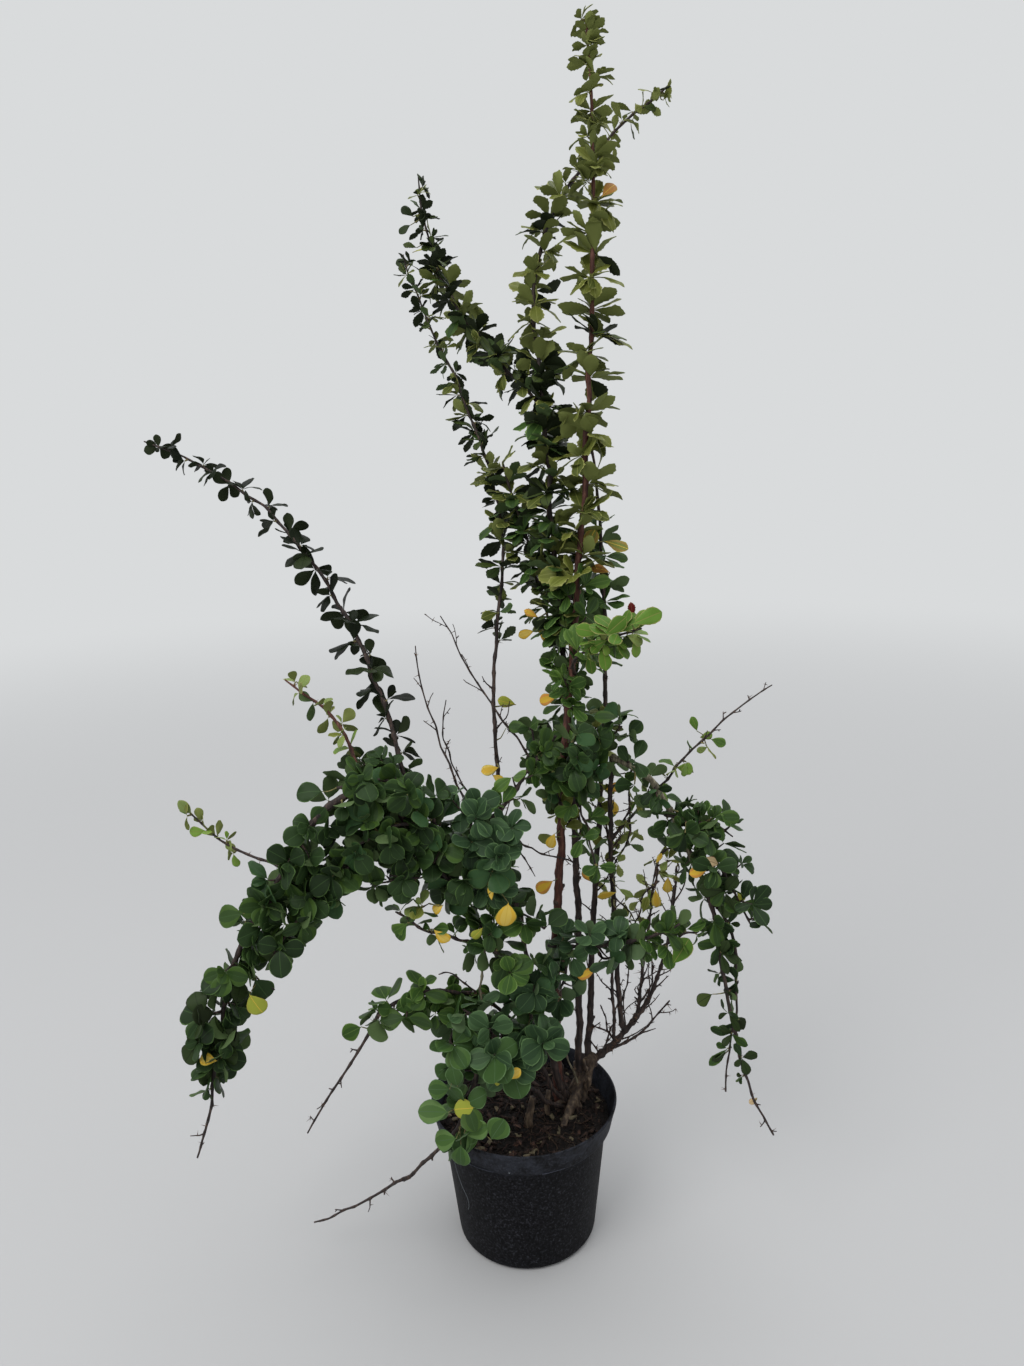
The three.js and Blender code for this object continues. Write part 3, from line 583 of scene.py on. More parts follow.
# Side boughs and twigs: radius at foot and tip, bark, and the points that they pass.
SIDE = {
    "b_mid": (1.5, 0.8, "bark_dark", [(94, 24, 193), (95, 26, 220), (93, 28, 249), (96, 33, 310), (96, 36, 343), (93, 40, 392), (89, 42, 418), (81, 46, 461)]),
    "c_up": (1.1, 0.6, "bark_dark", [(106, 40, 188), (104, 41, 207), (101, 42, 233), (100, 43, 259), (102, 44, 285)]),
    "c_fork": (0.8, 0.5, "bark_dark", [(104, 42, 221), (108, 40, 241), (111, 39, 258), (108, 38, 265)]),
    "d_long": (1.3, 0.8, "bark_dark", [(121, 46, 205), (123, 40, 235), (126, 36, 256), (126, 31, 277), (129, 24, 311), (131, 18, 336), (134, 12, 366), (136, 7, 387), (141, 3, 402), (147, -8, 412)]),
    "f_up": (0.9, 0.5, "bark_dark", [(135, 50, 227), (139, 51, 246), (137, 51, 265), (134, 52, 285)]),
    "g_left": (0.9, 0.5, "bark_dark", [(93, 30, 190), (90, 29, 197), (84, 27, 213), (81, 26, 228)]),
    "g_left2": (0.9, 0.5, "bark_dark", [(93, 30, 188), (86, 30, 196), (75, 30, 203), (68, 30, 211)]),
    "g_low": (0.9, 0.5, "bark_dark", [(80, 26, 169), (72, 26, 185), (66, 26, 193)]),
    "g_up": (0.9, 0.6, "bark_dark", [(83, 26, 173), (87, 27, 183), (92, 29, 197), (97, 30, 208)]),
    "arc_in": (0.9, 0.7, "bark_dark", [(130, -8, 466), (119, 3, 458), (107, 20, 434), (95, 44, 396)]),
    "arc_in2": (1.0, 0.7, "bark_dark", [(110, 0, 495), (109, 13, 460), (111, 22, 433), (108, 33, 400), (97, 44, 371)]),
    "h_down": (0.8, 0.5, "bark_dark", [(137, 24, 360), (124, 26, 346), (120, 28, 327), (112, 30, 306)]),
    "h_fork": (0.8, 0.5, "bark_dark", [(95, 44, 357), (103, 42, 335), (114, 41, 322), (120, 40, 308)]),
    "h_hook": (0.8, 0.4, "bark_dark", [(137, 14, 384), (151, 13, 388), (157, 12, 381), (152, 11, 371), (155, 10, 363)]),
    "h_stub": (0.8, 0.5, "bark_dark", [(153, 20, 355), (151, 24, 316), (149, 26, 288)]),
    "h_in": (0.7, 0.5, "bark_dark", [(79, 46, 343), (89, 45, 357), (95, 44, 371)]),
    "cross_tip": (1.3, 0.7, "bark_dark", [(86, -24, 309), (114, -26, 316), (136, -27, 319), (154, -28, 333), (169, -29, 337), (172, -30, 350)]),
    "left_in": (1.0, 0.5, "bark_dark", [(2, -20, 433), (14, -13, 418), (28, -6, 408), (47, 3, 397), (62, 10, 385)]),
    "left_in2": (0.8, 0.4, "bark_dark", [(3, -30, 418), (11, -27, 408), (17, -24, 394)]),
    "mid_in": (0.8, 0.5, "bark_dark", [(24, -10, 495), (34, 1, 474), (43, 10, 456)]),
    "bough_in": (1.9, 1.6, "bark_dark", [(-42, -50, 440), (-21, -40, 459), (-2, -26, 475), (9, -16, 490), (23, -7, 500), (40, 6, 520)]),
    "mid_left": (1.4, 0.8, "bark_dark", [(39, 80, 606), (37, 81, 626), (30, 84, 656), (19, 88, 695), (9, 92, 734), (-1, 96, 770)]),
    "left_under": (1.6, 0.8, "bark_dark", [(-78, -52, 446), (-92, -60, 436), (-108, -72, 445), (-133, -82, 444), (-158, -90, 434), (-180, -96, 413)]),
    "left_under2": (1.6, 0.8, "bark_dark", [(-66, -60, 452), (-89, -80, 472), (-114, -92, 470), (-138, -98, 458)]),
    "left_inner": (1.5, 0.8, "bark_dark", [(-133, -82, 444), (-154, -94, 431), (-176, -102, 410), (-196, -108, 386), (-210, -112, 366)]),
    "left_low_in": (1.3, 0.7, "bark_dark", [(-80, -60, 444), (-92, -72, 430), (-106, -82, 422), (-122, -86, 420)]),
    "f_bare2": (0.9, 0.5, "bark_dark", [(-36, 6, 455), (-44, 8, 468), (-52, 10, 483), (-60, 12, 500), (-64, 15, 527), (-61, 18, 555)]),
    "n_spray": (1.4, 0.8, "bark_dark", [(-40, -62, 350), (-53, -70, 356), (-65, -73, 364), (-82, -78, 371), (-95, -83, 385), (-106, -86, 393)]),
    "n_spray2": (0.9, 0.5, "bark_dark", [(-93, -76, 379), (-85, -80, 389), (-77, -84, 399)]),
    "n_bare": (0.9, 0.5, "bark_dark", [(-43, -50, 294), (-54, -54, 306), (-67, -58, 317), (-74, -60, 317)]),
    "j_side": (0.8, 0.5, "bark_dark", [(-86, -80, 422), (-98, -85, 425), (-109, -90, 429)]),
    "front_thin": (1.2, 0.9, "bark_grey", [(-40, -60, 235), (-40, -62, 260), (-36, -64, 298), (-33, -66, 329), (-29, -68, 363)]),
    "thin_pale": (1.0, 0.7, "bark_grey", [(57, 6, 149), (52, 6, 161), (43, 5, 192), (38, 4, 215)]),
    "j_hang_side": (0.7, 0.4, "bark_dark", [(-231, -110, 355), (-221, -111, 346), (-210, -112, 337)]),
    # boughs inside the masses
    "cross": (1.7, 1.1, "bark_dark", [(30, -4, 312), (44, -12, 316), (66, -22, 320), (96, -30, 326), (124, -32, 334), (150, -34, 346)]),
    "spray": (1.4, 0.8, "bark_dark", [(61, 28, 572), (58, 6, 588), (62, -16, 602), (76, -30, 614), (94, -44, 623), (112, -54, 630)]),
    "cross_low": (1.2, 0.7, "bark_dark", [(44, -12, 316), (44, -22, 300), (41, -28, 282), (38, -30, 266)]),
    "centre_left": (1.6, 0.8, "bark_dark", [(46, 20, 446), (36, 8, 470), (24, -4, 500), (18, -6, 534)]),
    "centre_front": (1.5, 0.8, "bark_dark", [(50, 20, 455), (52, -2, 474), (56, -22, 500), (50, -34, 528)]),
    "centre_right": (1.6, 0.8, "bark_dark", [(52, 22, 470), (68, 14, 492), (86, 2, 512), (100, -10, 532)]),
    "centre_drop": (1.3, 0.7, "bark_dark", [(52, 24, 480), (62, 8, 462), (68, -8, 432), (74, -14, 396)]),
    "left_crest_in": (2.0, 0.9, "bark_dark", [(-60, -46, 405), (-66, -62, 448), (-80, -72, 490), (-112, -80, 512), (-150, -80, 506)]),
    "left_crest_back": (1.6, 0.8, "bark_dark", [(-84, -50, 440), (-92, -50, 476), (-108, -52, 508), (-140, -50, 516)]),
    "outer_right": (1.6, 0.8, "bark_dark", [(140, -12, 446), (160, -20, 440), (182, -26, 410), (202, -30, 372), (218, -34, 340)]),
    "outer_right_up": (1.2, 0.7, "bark_dark", [(160, -20, 430), (170, -17, 438), (184, -14, 438), (202, -16, 424)]),
    "front_up_a": (1.8, 0.9, "bark_dark", [(-40, -32, 360), (-36, -52, 392), (-24, -64, 420), (-8, -66, 444), (2, -64, 458)]),
    "front_up_b": (1.8, 0.9, "bark_dark", [(-48, -38, 380), (-56, -60, 404), (-72, -72, 430), (-92, -76, 446)]),
    "front_up_c": (1.5, 0.8, "bark_dark", [(-46, -36, 376), (-44, -48, 410), (-40, -56, 446), (-36, -58, 480)]),
    "front_mid_a": (1.6, 0.9, "bark_dark", [(-34, -30, 350), (-38, -54, 368), (-34, -64, 350), (-14, -64, 332), (10, -56, 312)]),
    "front_mid_b": (1.3, 0.8, "bark_dark", [(-30, -26, 340), (-12, -40, 362), (8, -46, 366), (24, -46, 352)]),
    "front_mid_c": (1.4, 0.8, "bark_dark", [(-24, -22, 250), (-10, -34, 266), (2, -44, 282), (14, -46, 300), (18, -44, 312)]),
    "front_low_a": (1.6, 0.9, "bark_dark", [(-6, -40, 190), (-8, -54, 222), (-4, -62, 244), (8, -62, 254), (18, -56, 250)]),
    "front_low_b": (1.5, 0.9, "bark_dark", [(-14, -50, 212), (-18, -66, 246), (-34, -76, 276), (-52, -78, 292)]),
    "low_left_a": (1.4, 0.8, "bark_dark", [(-62, -44, 284), (-82, -62, 293), (-106, -76, 294), (-128, -84, 292)]),
    "low_left_b": (1.2, 0.7, "bark_dark", [(-50, -38, 276), (-60, -56, 268), (-64, -74, 258), (-56, -84, 246)]),
    "back_up_a": (1.8, 0.9, "bark_dark", [(58, 36, 413), (48, 52, 440), (38, 70, 474), (36, 88, 508)]),
    "back_up_b": (1.8, 0.9, "bark_dark", [(66, 52, 410), (60, 70, 450), (70, 84, 486), (92, 88, 512)]),
    "back_up_c": (1.5, 0.8, "bark_dark", [(50, 40, 420), (38, 64, 456), (34, 86, 484), (40, 98, 500)]),
    "back_low_a": (1.6, 0.9, "bark_dark", [(10, 34, 300), (-14, 46, 346), (-38, 52, 384), (-58, 54, 408)]),
    "back_low_b": (1.5, 0.9, "bark_dark", [(4, 36, 300), (-12, 52, 330), (-26, 60, 350), (-36, 64, 360)]),
}

PATHS = {}
LEAD = {}


def nearest(p):
    """The gap to the nearest wood that is grown already, and the point on it."""
    best = None
    for path in PATHS.values():
        line = path.at(np.arange(0, path.length, 1.0))
        d = np.linalg.norm(line - p, axis=1)
        i = int(np.argmin(d))
        if best is None or d[i] < best[0]:
            best = (float(d[i]), line[i])
    return best


def carried(name, path):
    """The path with a curved length before it that grows out of the nearest wood, so that no bough starts in the air."""
    foot, heading = path.p[0], unit(path.p[4] - path.p[0])
    gap, _ = nearest(foot)
    if gap < 0.8:
        return path
    _, at = nearest(foot - heading * min(gap, 24.0) * 0.7)
    gap = float(np.linalg.norm(foot - at))
    lead = bezier(at, foot, (foot - at) * 0.35, heading * gap * 0.35, n=12)
    LEAD[name] = lead.length
    return Path(np.vstack([lead.p[:-1], path.p]))


def grow_paths():
    rooted = [name for name in LIMBS if LIMBS[name][0][2] < 170]
    late = ["twig_bare_left", "twig_bare_mid"]
    for name in rooted:
        foot, tip, leave, arrive = LIMBS[name][:4]
        path = bezier(foot, tip, leave, arrive)
        deep = np.array([48, 5, 122.0]) + (np.array([70, 22, 172.0]) - [48, 5, 122.0]) * max(0.0, (foot[2] - 136) / 50)
        PATHS[name] = wander(Path(np.vstack([deep, 0.5 * deep + 0.5 * np.array(foot) + [0, 0, -1], path.p])), name)
    for name in [n for n in LIMBS if n not in rooted + late]:
        PATHS[name] = wander(carried(name, bezier(*LIMBS[name][:4])), name)
    for name in sorted(SIDE, key=lambda n: -SIDE[n][0]):        # thick ones first, so that they can carry the thin
        PATHS[name] = wander(carried(name, through(SIDE[name][3])), name, 1.2 if SIDE[name][0] <= 1.3 else 0.8)
    for name in late:
        PATHS[name] = wander(carried(name, bezier(*LIMBS[name][:4])), name)


grow_paths()
NODES = {name: [] for name in PATHS}


def span(limb, a, b):
    """Lengths along a limb for two shares of it, counted from its own foot."""
    lead = LEAD.get(limb, 0.0)
    own = PATHS[limb].length - lead
    return lead + a * own, lead + b * own


TWIGS = {}
FOLIAGE = {}
SPINES = {}


def radius_at(name, s):
    r0, r1 = (LIMBS[name][4:6] if name in LIMBS else SIDE[name][:2])
    return r1 + (r0 - r1) * (1 - s / PATHS[name].length) ** 0.85


def foliage(mass):
    return FOLIAGE.setdefault(mass, Foliage())


def twig(group, points, r0, r1, mat="twig_dark"):
    TWIGS.setdefault(group, []).append((Path(points), r0, r1, mat))


def spines(group, rng, p, out, along, size):
    """The barberry's three-parted spine under a spur."""
    out, along = unit(out), unit(along)
    side = np.cross(out, along)
    for turn in (0.0, 1.0, -1.0):
        if turn and rng.random() < 0.25:
            continue
        d = unit(out * math.cos(turn * 0.95) + side * math.sin(turn * 0.95) - 0.15 * along + rng.normal(0, 0.08, 3))
        SPINES.setdefault(group, []).append((p, d, size * (1 if turn == 0 else 0.72) * rng.uniform(0.8, 1.15)))


def rosette(fol, rng, p, out, k, length, kind, family, spread=1.05, face=None, tilt=0.52, droop=0.0, level=0.0):
    """The leaves of one short spur: an uneven whorl of full and young leaves, upper faces turned outward, or upward by
    the share that level gives."""
    out = unit(out)
    a = across(out)
    b = np.cross(out, a)
    phi = rng.uniform(0, 2 * math.pi)
    tones = dealt(rng, family, k)
    for i in range(k):
        phi += 2 * math.pi / max(k, 2) * rng.uniform(0.5, 1.5)
        young = rng.random() < 0.2
        beta = spread * (rng.uniform(0.3, 0.75) if young else rng.uniform(0.75, 1.4))
        d = math.cos(beta) * out + math.sin(beta) * (math.cos(phi) * a + math.sin(phi) * b) - droop * UP
        n = (1 - 0.6 * level) * out + (0 if face is None else 0.5 * face) + (0.25 + level) * UP + rng.normal(0, tilt, 3)
        size = length * (rng.uniform(0.45, 0.72) if young else rng.uniform(0.8, 1.14))
        fol.leaf(rng, p + unit(d) * 0.5, d, n, size, kind, tones[i])


def column(mass, limb, a, b, spacing, k, length, kind, family, group, lift=0.7, spur=2.5, spread=1.05,
           face=None, spine=0.0, up=0.15, length_end=None, skip=0.0, lean=(0, 0, 0), level=0.0, tilt=0.48):
    """Leaves straight on a long shoot: a spur with a whorl of leaves at each node, turned by the golden angle."""
    rng = rng_for(mass + limb)
    path, fol = PATHS[limb], foliage(mass)
    low, high = span(limb, a, b)
    s, turn = low + rng.uniform(0, spacing * 0.5), rng.uniform(0, 6.28)
    while s < high:
        f = (s - low) / (high - low)
        t = path.tangent(s)
        u = across(t)
        w = np.cross(t, u)
        turn += 2.399 + rng.normal(0, 0.25)
        out = math.cos(turn) * u + math.sin(turn) * w
        p = path.at(s) + out * radius_at(limb, s) * 0.6
        axis = unit(out + lift * t + up * UP + np.asarray(lean))
        NODES[limb].append((s, out))
        tip = p + unit(out + 0.5 * t) * spur * rng.uniform(0.7, 1.6)
        twig(group, [p, tip], 0.75, 0.6, "twig_green")
        size = length + ((length_end if length_end is not None else length) - length) * f
        if rng.random() >= skip:
            number = max(1, int(round(k + rng.uniform(-0.9, 0.9))))
            rosette(fol, rng, tip, axis, number, size, kind, family, spread, face, tilt, level=level)
        if rng.random() < spine:
            spines(group, rng, p, out, t, rng.uniform(6, 10))
        s += spacing * rng.uniform(0.8, 1.2)


def bushy(mass, limb, a, b, radius, spacing, k, length, kind, family, group, forward=0.45, face=None, up=0.25,
          lean=(0, 0, 0), spread=1.0, droop=0.0, fill=(0.45, 1.05), step=12, tilt=0.42):
    """Short side twigs that leave a bough at each node, each with whorls of leaves along it and at its end."""
    rng = rng_for(mass + limb)
    path, fol = PATHS[limb], foliage(mass)
    low, high = span(limb, a, b)
    s, turn = low + rng.uniform(0, spacing * 0.5), rng.uniform(0, 6.28)
    while s < high:
        f = (s - low) / (high - low)
        t = path.tangent(s)
        u = across(t)
        w = np.cross(t, u)
        turn += 2.399 + rng.normal(0, 0.3)
        out = math.cos(turn) * u + math.sin(turn) * w
        out = unit(out + np.asarray(lean, float))
        NODES[limb].append((s, out))
        p = path.at(s) + out * radius_at(limb, s) * 0.5
        reach = radius * min(1.0, 1.3 * math.sin(math.pi * min(0.97, max(0.05, f * 0.9 + 0.07))) ** 0.5)
        size = length
        l = max(3.0, (reach - 0.72 * size) * rng.uniform(*fill))
        axis = unit(out + forward * t + up * UP)
        bend = unit(axis + 0.35 * UP * (1 if droop <= 0 else -droop) + rng.normal(0, 0.12, 3))
        line = [p, p + axis * l * 0.35, p + axis * l * 0.6 + bend * l * 0.12, p + axis * l * 0.62 + bend * l * 0.4]
        twig(group, line, 0.95, 0.55, "twig_dark" if rng.random() < 0.7 else "twig_green")
        small = Path(line)
        facing = unit(out + (face if face is not None else 0) + 0.3 * UP)
        where = list(np.arange(small.length, 4.0, -step))[::-1] or [small.length]
        for q in where:
            tip = small.at(q)
            tt = small.tangent(q)
            spin = rng.uniform(0, 6.28)
            v = across(tt)
            radial = math.cos(spin) * v + math.sin(spin) * np.cross(tt, v)
            last = q == where[-1]
            ax = unit(tt * (0.9 if last else 0.3) + (0.2 if last else 0.9) * radial + 0.7 * facing)
            number = max(2, int(round(k + rng.uniform(-0.9, 0.9))))
            rosette(fol, rng, tip, ax, number, size, kind, family, spread, face, tilt, droop)
        if spacing > 13 or rng.random() < 0.6:
            ax = unit(out * 0.9 - 0.2 * t + 0.3 * facing)
            rosette(fol, rng, path.at(s + 3) + out * 1.5, ax, max(2, k - 1), size * 0.9, kind, family, spread, face, tilt, droop)
        s += spacing * rng.uniform(0.8, 1.2)


# ---------------------------------------------------------------- growth

F = FRONT
column("tall_top", "stem_tall", 0.865, 0.998, 12, 11, 23, "elliptic", "pale_olive", "twigs_tall", lift=1.6, length_end=15, spread=1.1, level=0.4, tilt=0.42)
column("tall_high", "stem_tall", 0.70, 0.865, 22, 12, 31, "elliptic", "olive", "twigs_tall", lift=1.5, spine=0.3, spread=1.25, level=0.65, tilt=0.38)
column("tall_low", "stem_tall", 0.535, 0.70, 22, 12, 31, "elliptic", "olive", "twigs_tall", lift=1.5, spine=0.4, spread=1.25, level=0.65, tilt=0.38)
column("mid_column", "stem_mid", 0.64, 0.995, 14, 13, 28, "elliptic", "mid_olive", "twigs_mid", lift=1.3, spine=0.4, spread=1.25, level=0.55, tilt=0.42)
column("mid_high", "stem_mid_top", 0.02, 0.53, 17, 10, 27, "elliptic", "high_olive", "twigs_mid", lift=1.3, spine=0.4, spread=1.2, level=0.55, tilt=0.42)
column("mid_tip", "stem_mid_top", 0.54, 0.995, 9, 4, 18, "elliptic", "olive", "twigs_mid", lift=1.0, spine=0.6, length_end=15)
# The upper-left boughs and the tall left shoots get the darker painted-shade greens of backlit leaves.
column("upper_left", "bough_upper_left", 0.06, 0.68, 13, 11, 25, "elliptic", "painted_shade_olive", "twigs_upper_left", lift=0.8, spine=0.3, level=0.5, tilt=0.42)
column("upper_tip", "bough_upper_left", 0.68, 0.99, 11, 8, 19, "elliptic", "dusk", "twigs_upper_left", lift=0.8, length_end=12, level=0.4)
column("left_tall_low", "shoot_left_tall", 0.0, 0.46, 14, 8, 24, "elliptic", "painted_shade_olive", "twigs_upper_left", lift=1.0, spine=0.3, level=0.75, tilt=0.42)
column("left_tall_tip", "shoot_left_tall", 0.46, 0.99, 12, 7, 21, "elliptic", "painted_shade_olive", "twigs_upper_left", lift=0.9, length_end=14, level=0.7, tilt=0.42)
column("left_tall_low", "mid_left", 0.12, 1.0, 13, 9, 25, "elliptic", "mid_olive", "twigs_upper_left", lift=1.0, spine=0.2, level=0.7, tilt=0.42)
column("left_tall_low", "stem_left", 0.90, 0.995, 16, 4, 20, "elliptic", "painted_shade_olive", "twigs_upper_left", lift=1.0, spine=0.4, level=0.6)

column("spray_front", "spray", 0.40, 0.92, 11, 6, 23, "oblong", "bright", "twigs_centre", lift=0.9, up=0.1, face=F * 0.4, level=0.8, tilt=0.34)
bushy("centre_top", "stem_tall", 0.415, 0.53, 42, 10, 5, 22, "oblong", "mid", "twigs_centre", face=F * 0.4)
column("centre_top", "stem_rear", 0.66, 0.88, 14, 5, 22, "oblong", "mid", "twigs_centre", spine=0.4, level=0.3)
column("centre_top", "stem_mid", 0.48, 0.66, 11, 6, 22, "oblong", "mid", "twigs_centre", spine=0.4, level=0.3)
bushy("centre", "centre_left", 0.2, 1.0, 30, 13, 4, 20, "obovate", "deep_mid", "twigs_centre", face=F * 0.3)
bushy("centre", "bough_in", 0.30, 0.88, 25, 12, 3, 19, "obovate", "mid", "twigs_centre", face=F * 0.3)
bushy("centre", "centre_front", 0.2, 1.0, 34, 13, 4, 20, "round", "deep", "twigs_centre", face=F * 0.5, lean=(0.2, 0, 0.2))
bushy("centre", "centre_right", 0.2, 1.0, 40, 12, 4, 20, "round", "deep", "twigs_centre", face=F * 0.4)
bushy("centre_low", "centre_drop", 0.3, 1.0, 28, 15, 3, 19, "obovate", "mid", "twigs_centre", face=F * 0.3)
column("centre_low", "stem_rear", 0.40, 0.60, 18, 3, 17, "obovate", "olive", "twigs_centre", spine=0.4)
column("centre_low", "stem_tall", 0.29, 0.37, 13, 4, 20, "obovate", "olive", "twigs_centre", spine=0.3, face=F * 0.3)

bushy("right_crest", "bough_right_arch", 0.0, 0.95, 32, 12, 3, 20, "obovate", "deep", "twigs_right", face=F * 0.2, lean=(-0.2, 0, -0.6))
bushy("right_outer", "outer_right", 0.0, 1.0, 34, 9, 4, 21, "obovate", "deep_dark", "twigs_right", face=F * 0.5, lean=(-0.15, 0, -0.15))
bushy("right_outer", "outer_right_up", 0.1, 1.0, 29, 9, 4, 23, "oblong", "deep_mid", "twigs_right", face=F * 0.7)
column("right_hang", "bough_right_hang", 0.0, 0.26, 12, 4, 21, "obovate", "deep", "twigs_right", lift=0.7, spine=0.3, lean=(-0.3, 0, 0))
column("right_hang", "bough_right_hang", 0.26, 0.80, 20, 3, 19, "oblong", "hang_dark", "twigs_right", lift=0.5, spine=0.3, length_end=16, lean=(-0.5, 0, 0), face=F * 0.4)
column("right_hang", "twig_right_hang", 0.1, 0.85, 18, 3, 21, "oblong", "deep_dark", "twigs_right", lift=0.4, spine=0.3, lean=(-0.9, 0, 0), face=F * 0.4)
column("right_crest", "twig_right_out", 0.16, 0.60, 14, 2, 17, "obovate", "light", "twigs_right", lift=0.8, spine=0.2)
for _twig, _a, _b in (("d_long", 0.45, 1.0), ("arc_in", 0.2, 1.0), ("arc_in2", 0.3, 1.0), ("h_down", 0.1, 1.0), ("h_fork", 0.2, 1.0), ("b_mid", 0.6, 1.0), ("h_hook", 0.2, 1.0)):
    column("right_crest", _twig, _a, _b, 15, 3, 16, "elliptic", "light", "twigs_right", lift=0.8, spine=0.2, skip=0.2)

bushy("left_crest", "left_crest_in", 0.30, 1.0, 38, 12, 4, 22, "round", "deep", "twigs_left", face=F * 0.6, lean=(0.1, 0, -0.2), droop=0.15)
bushy("left_crest", "left_crest_back", 0.25, 1.0, 36, 13, 4, 21, "round", "deep", "twigs_left", lean=(0, 0.2, -0.1))
bushy("left_crest", "bough_left_rise", 0.72, 1.0, 40, 12, 4, 22, "round", "deep", "twigs_left", face=F * 0.6)
bushy("left_crest", "left_under", 0.2, 0.7, 32, 10, 4, 22, "round", "deep", "twigs_left", face=F * 0.6, lean=(0, 0, -0.3), droop=0.2)
bushy("left_crest", "left_low_in", 0.1, 1.0, 25, 11, 4, 21, "round", "deep", "twigs_left", face=F * 0.6, lean=(0, 0, -0.3), droop=0.2)
bushy("left_arch", "left_under2", 0.2, 1.0, 36, 10, 4, 22, "round", "deep", "twigs_left", face=F * 0.6, droop=0.2)
bushy("left_arch", "left_under", 0.6, 1.0, 34, 9, 4, 22, "round", "deep", "twigs_left", face=F * 0.6, lean=(0.1, 0, -0.3), droop=0.2)
bushy("left_arch", "bough_left_arch", 0.0, 1.0, 30, 10, 5, 22, "round", "deep", "twigs_left", face=F * 0.6, lean=(0.6, -0.1, -0.4), droop=0.15)
bushy("left_arch", "left_inner", 0.2, 1.0, 25, 9, 4, 22, "round", "deep", "twigs_left", face=F * 0.6, lean=(0.3, -0.1, -0.2), droop=0.2)
bushy("left_drop", "bough_left_hang", 0.0, 0.30, 30, 10, 5, 22, "round", "deep", "twigs_left", face=F * 0.6, lean=(0.6, -0.1, -0.1), droop=0.25)
bushy("left_end", "bough_left_hang", 0.35, 0.62, 33, 8, 5, 22, "round", "hang_dark", "twigs_left", face=F * 0.6, lean=(0.1, -0.1, 0.2), droop=0.25)
column("left_end", "bough_left_hang", 0.62, 0.72, 10, 4, 19, "round", "deep_dark", "twigs_left", lift=0.3)
# The far-left shoot gets the near-black painted-shade greens of a backlit shoot.
column("far_left_low", "shoot_far_left", 0.06, 0.56, 17, 5, 23, "obovate", "night", "twigs_far_left", lift=0.7, spine=0.3, level=0.5)
column("far_left_tip", "shoot_far_left", 0.56, 0.99, 15, 5, 21, "obovate", "night", "twigs_far_left", lift=0.7, length_end=14, level=0.3)
column("left_short", "shoot_left_short", 0.2, 0.99, 12, 3, 19, "obovate", "light", "twigs_far_left", lift=0.9, spine=0.7, length_end=15)
column("left_short", "twig_left_out", 0.3, 0.99, 10, 3, 14, "obovate", "light", "twigs_far_left", lift=0.8, spine=0.3, length_end=15)

bushy("front_upper", "front_up_a", 0.3, 1.0, 35, 11, 4, 22, "round", "teal", "twigs_front", face=F * 0.5, lean=(-0.4, 0, 0))
bushy("front_upper", "front_up_b", 0.25, 1.0, 40, 11, 4, 22, "round", "deep", "twigs_front", face=F * 0.5)
bushy("front_upper", "front_up_c", 0.35, 1.0, 38, 12, 4, 21, "round", "teal", "twigs_front", face=F * 0.5)
bushy("front_mid", "front_mid_a", 0.2, 1.0, 36, 11, 4, 21, "round", "deep_mid", "twigs_front", face=F * 0.3)
bushy("front_mid", "front_mid_b", 0.3, 1.0, 32, 12, 3, 20, "round", "deep_mid", "twigs_front", face=F * 0.3)
bushy("front_mid", "front_mid_c", 0.25, 1.0, 34, 11, 4, 21, "round", "teal", "twigs_front", face=F * 0.3)
column("front_mid", "n_spray", 0.1, 1.0, 12, 3, 20, "obovate", "mid", "twigs_front", face=F * 0.4, lift=0.8)
column("front_mid", "n_spray2", 0.3, 1.0, 11, 3, 18, "obovate", "light", "twigs_front", face=F * 0.4, lift=0.8)
bushy("front_low", "front_low_a", 0.3, 1.0, 39, 13, 4, 23, "round", "teal_light", "twigs_front", face=F * 0.4)
bushy("front_low", "front_low_b", 0.25, 1.0, 39, 12, 4, 22, "round", "teal_light", "twigs_front", face=F * 0.4)
bushy("front_low", "bough_front_rise", 0.6, 1.0, 30, 14, 3, 22, "round", "low", "twigs_front", face=F * 0.4)
bushy("cross", "cross", 0.0, 0.62, 34, 9, 5, 20, "round", "teal", "twigs_right", face=F * 0.3, lean=(-0.1, 0, -0.1))
bushy("cross", "cross_low", 0.2, 1.0, 25, 12, 3, 20, "round", "teal", "twigs_right", face=F * 0.3)
column("cross", "cross", 0.60, 1.0, 8, 4, 21, "obovate", "mid", "twigs_right", face=F * 0.3, lift=0.9)
column("cross", "cross_tip", 0.1, 0.9, 11, 3, 19, "obovate", "mid", "twigs_right", face=F * 0.3, lift=0.9)
bushy("low_left", "low_left_a", 0.0, 1.0, 28, 11, 3, 22, "round", "mid", "twigs_left", face=F * 0.4, lean=(0.1, 0, -0.1), droop=0.2, up=0.0)
bushy("low_left", "low_left_b", 0.2, 1.0, 30, 10, 4, 23, "round", "low", "twigs_left", face=F * 0.4, lean=(0.1, 0, -0.2), droop=0.25, up=-0.1)
bushy("low_left", "bough_low_rise", 0.66, 1.0, 23, 15, 3, 20, "round", "mid", "twigs_left", face=F * 0.4, lean=(0, 0, -0.4), droop=0.2, up=-0.1)
bushy("front_hang", "bough_front_hang", 0.06, 0.34, 28, 14, 3, 23, "round", "low", "twigs_front", face=F * 0.4)
bushy("back_upper", "back_up_a", 0.3, 1.0, 36, 12, 4, 21, "round", "deep", "twigs_back", face=-F * 0.35)
bushy("back_upper", "back_up_b", 0.3, 1.0, 42, 12, 4, 21, "round", "deep", "twigs_back", face=-F * 0.35)
bushy("back_upper", "back_up_c", 0.3, 1.0, 42, 12, 4, 21, "round", "deep", "twigs_back", face=-F * 0.35)
bushy("back_low", "back_low_a", 0.3, 1.0, 42, 12, 4, 21, "round", "deep", "twigs_back", face=-F * 0.3)
bushy("back_low", "back_low_b", 0.3, 1.0, 42, 12, 4, 21, "round", "deep_mid", "twigs_back", face=-F * 0.3)


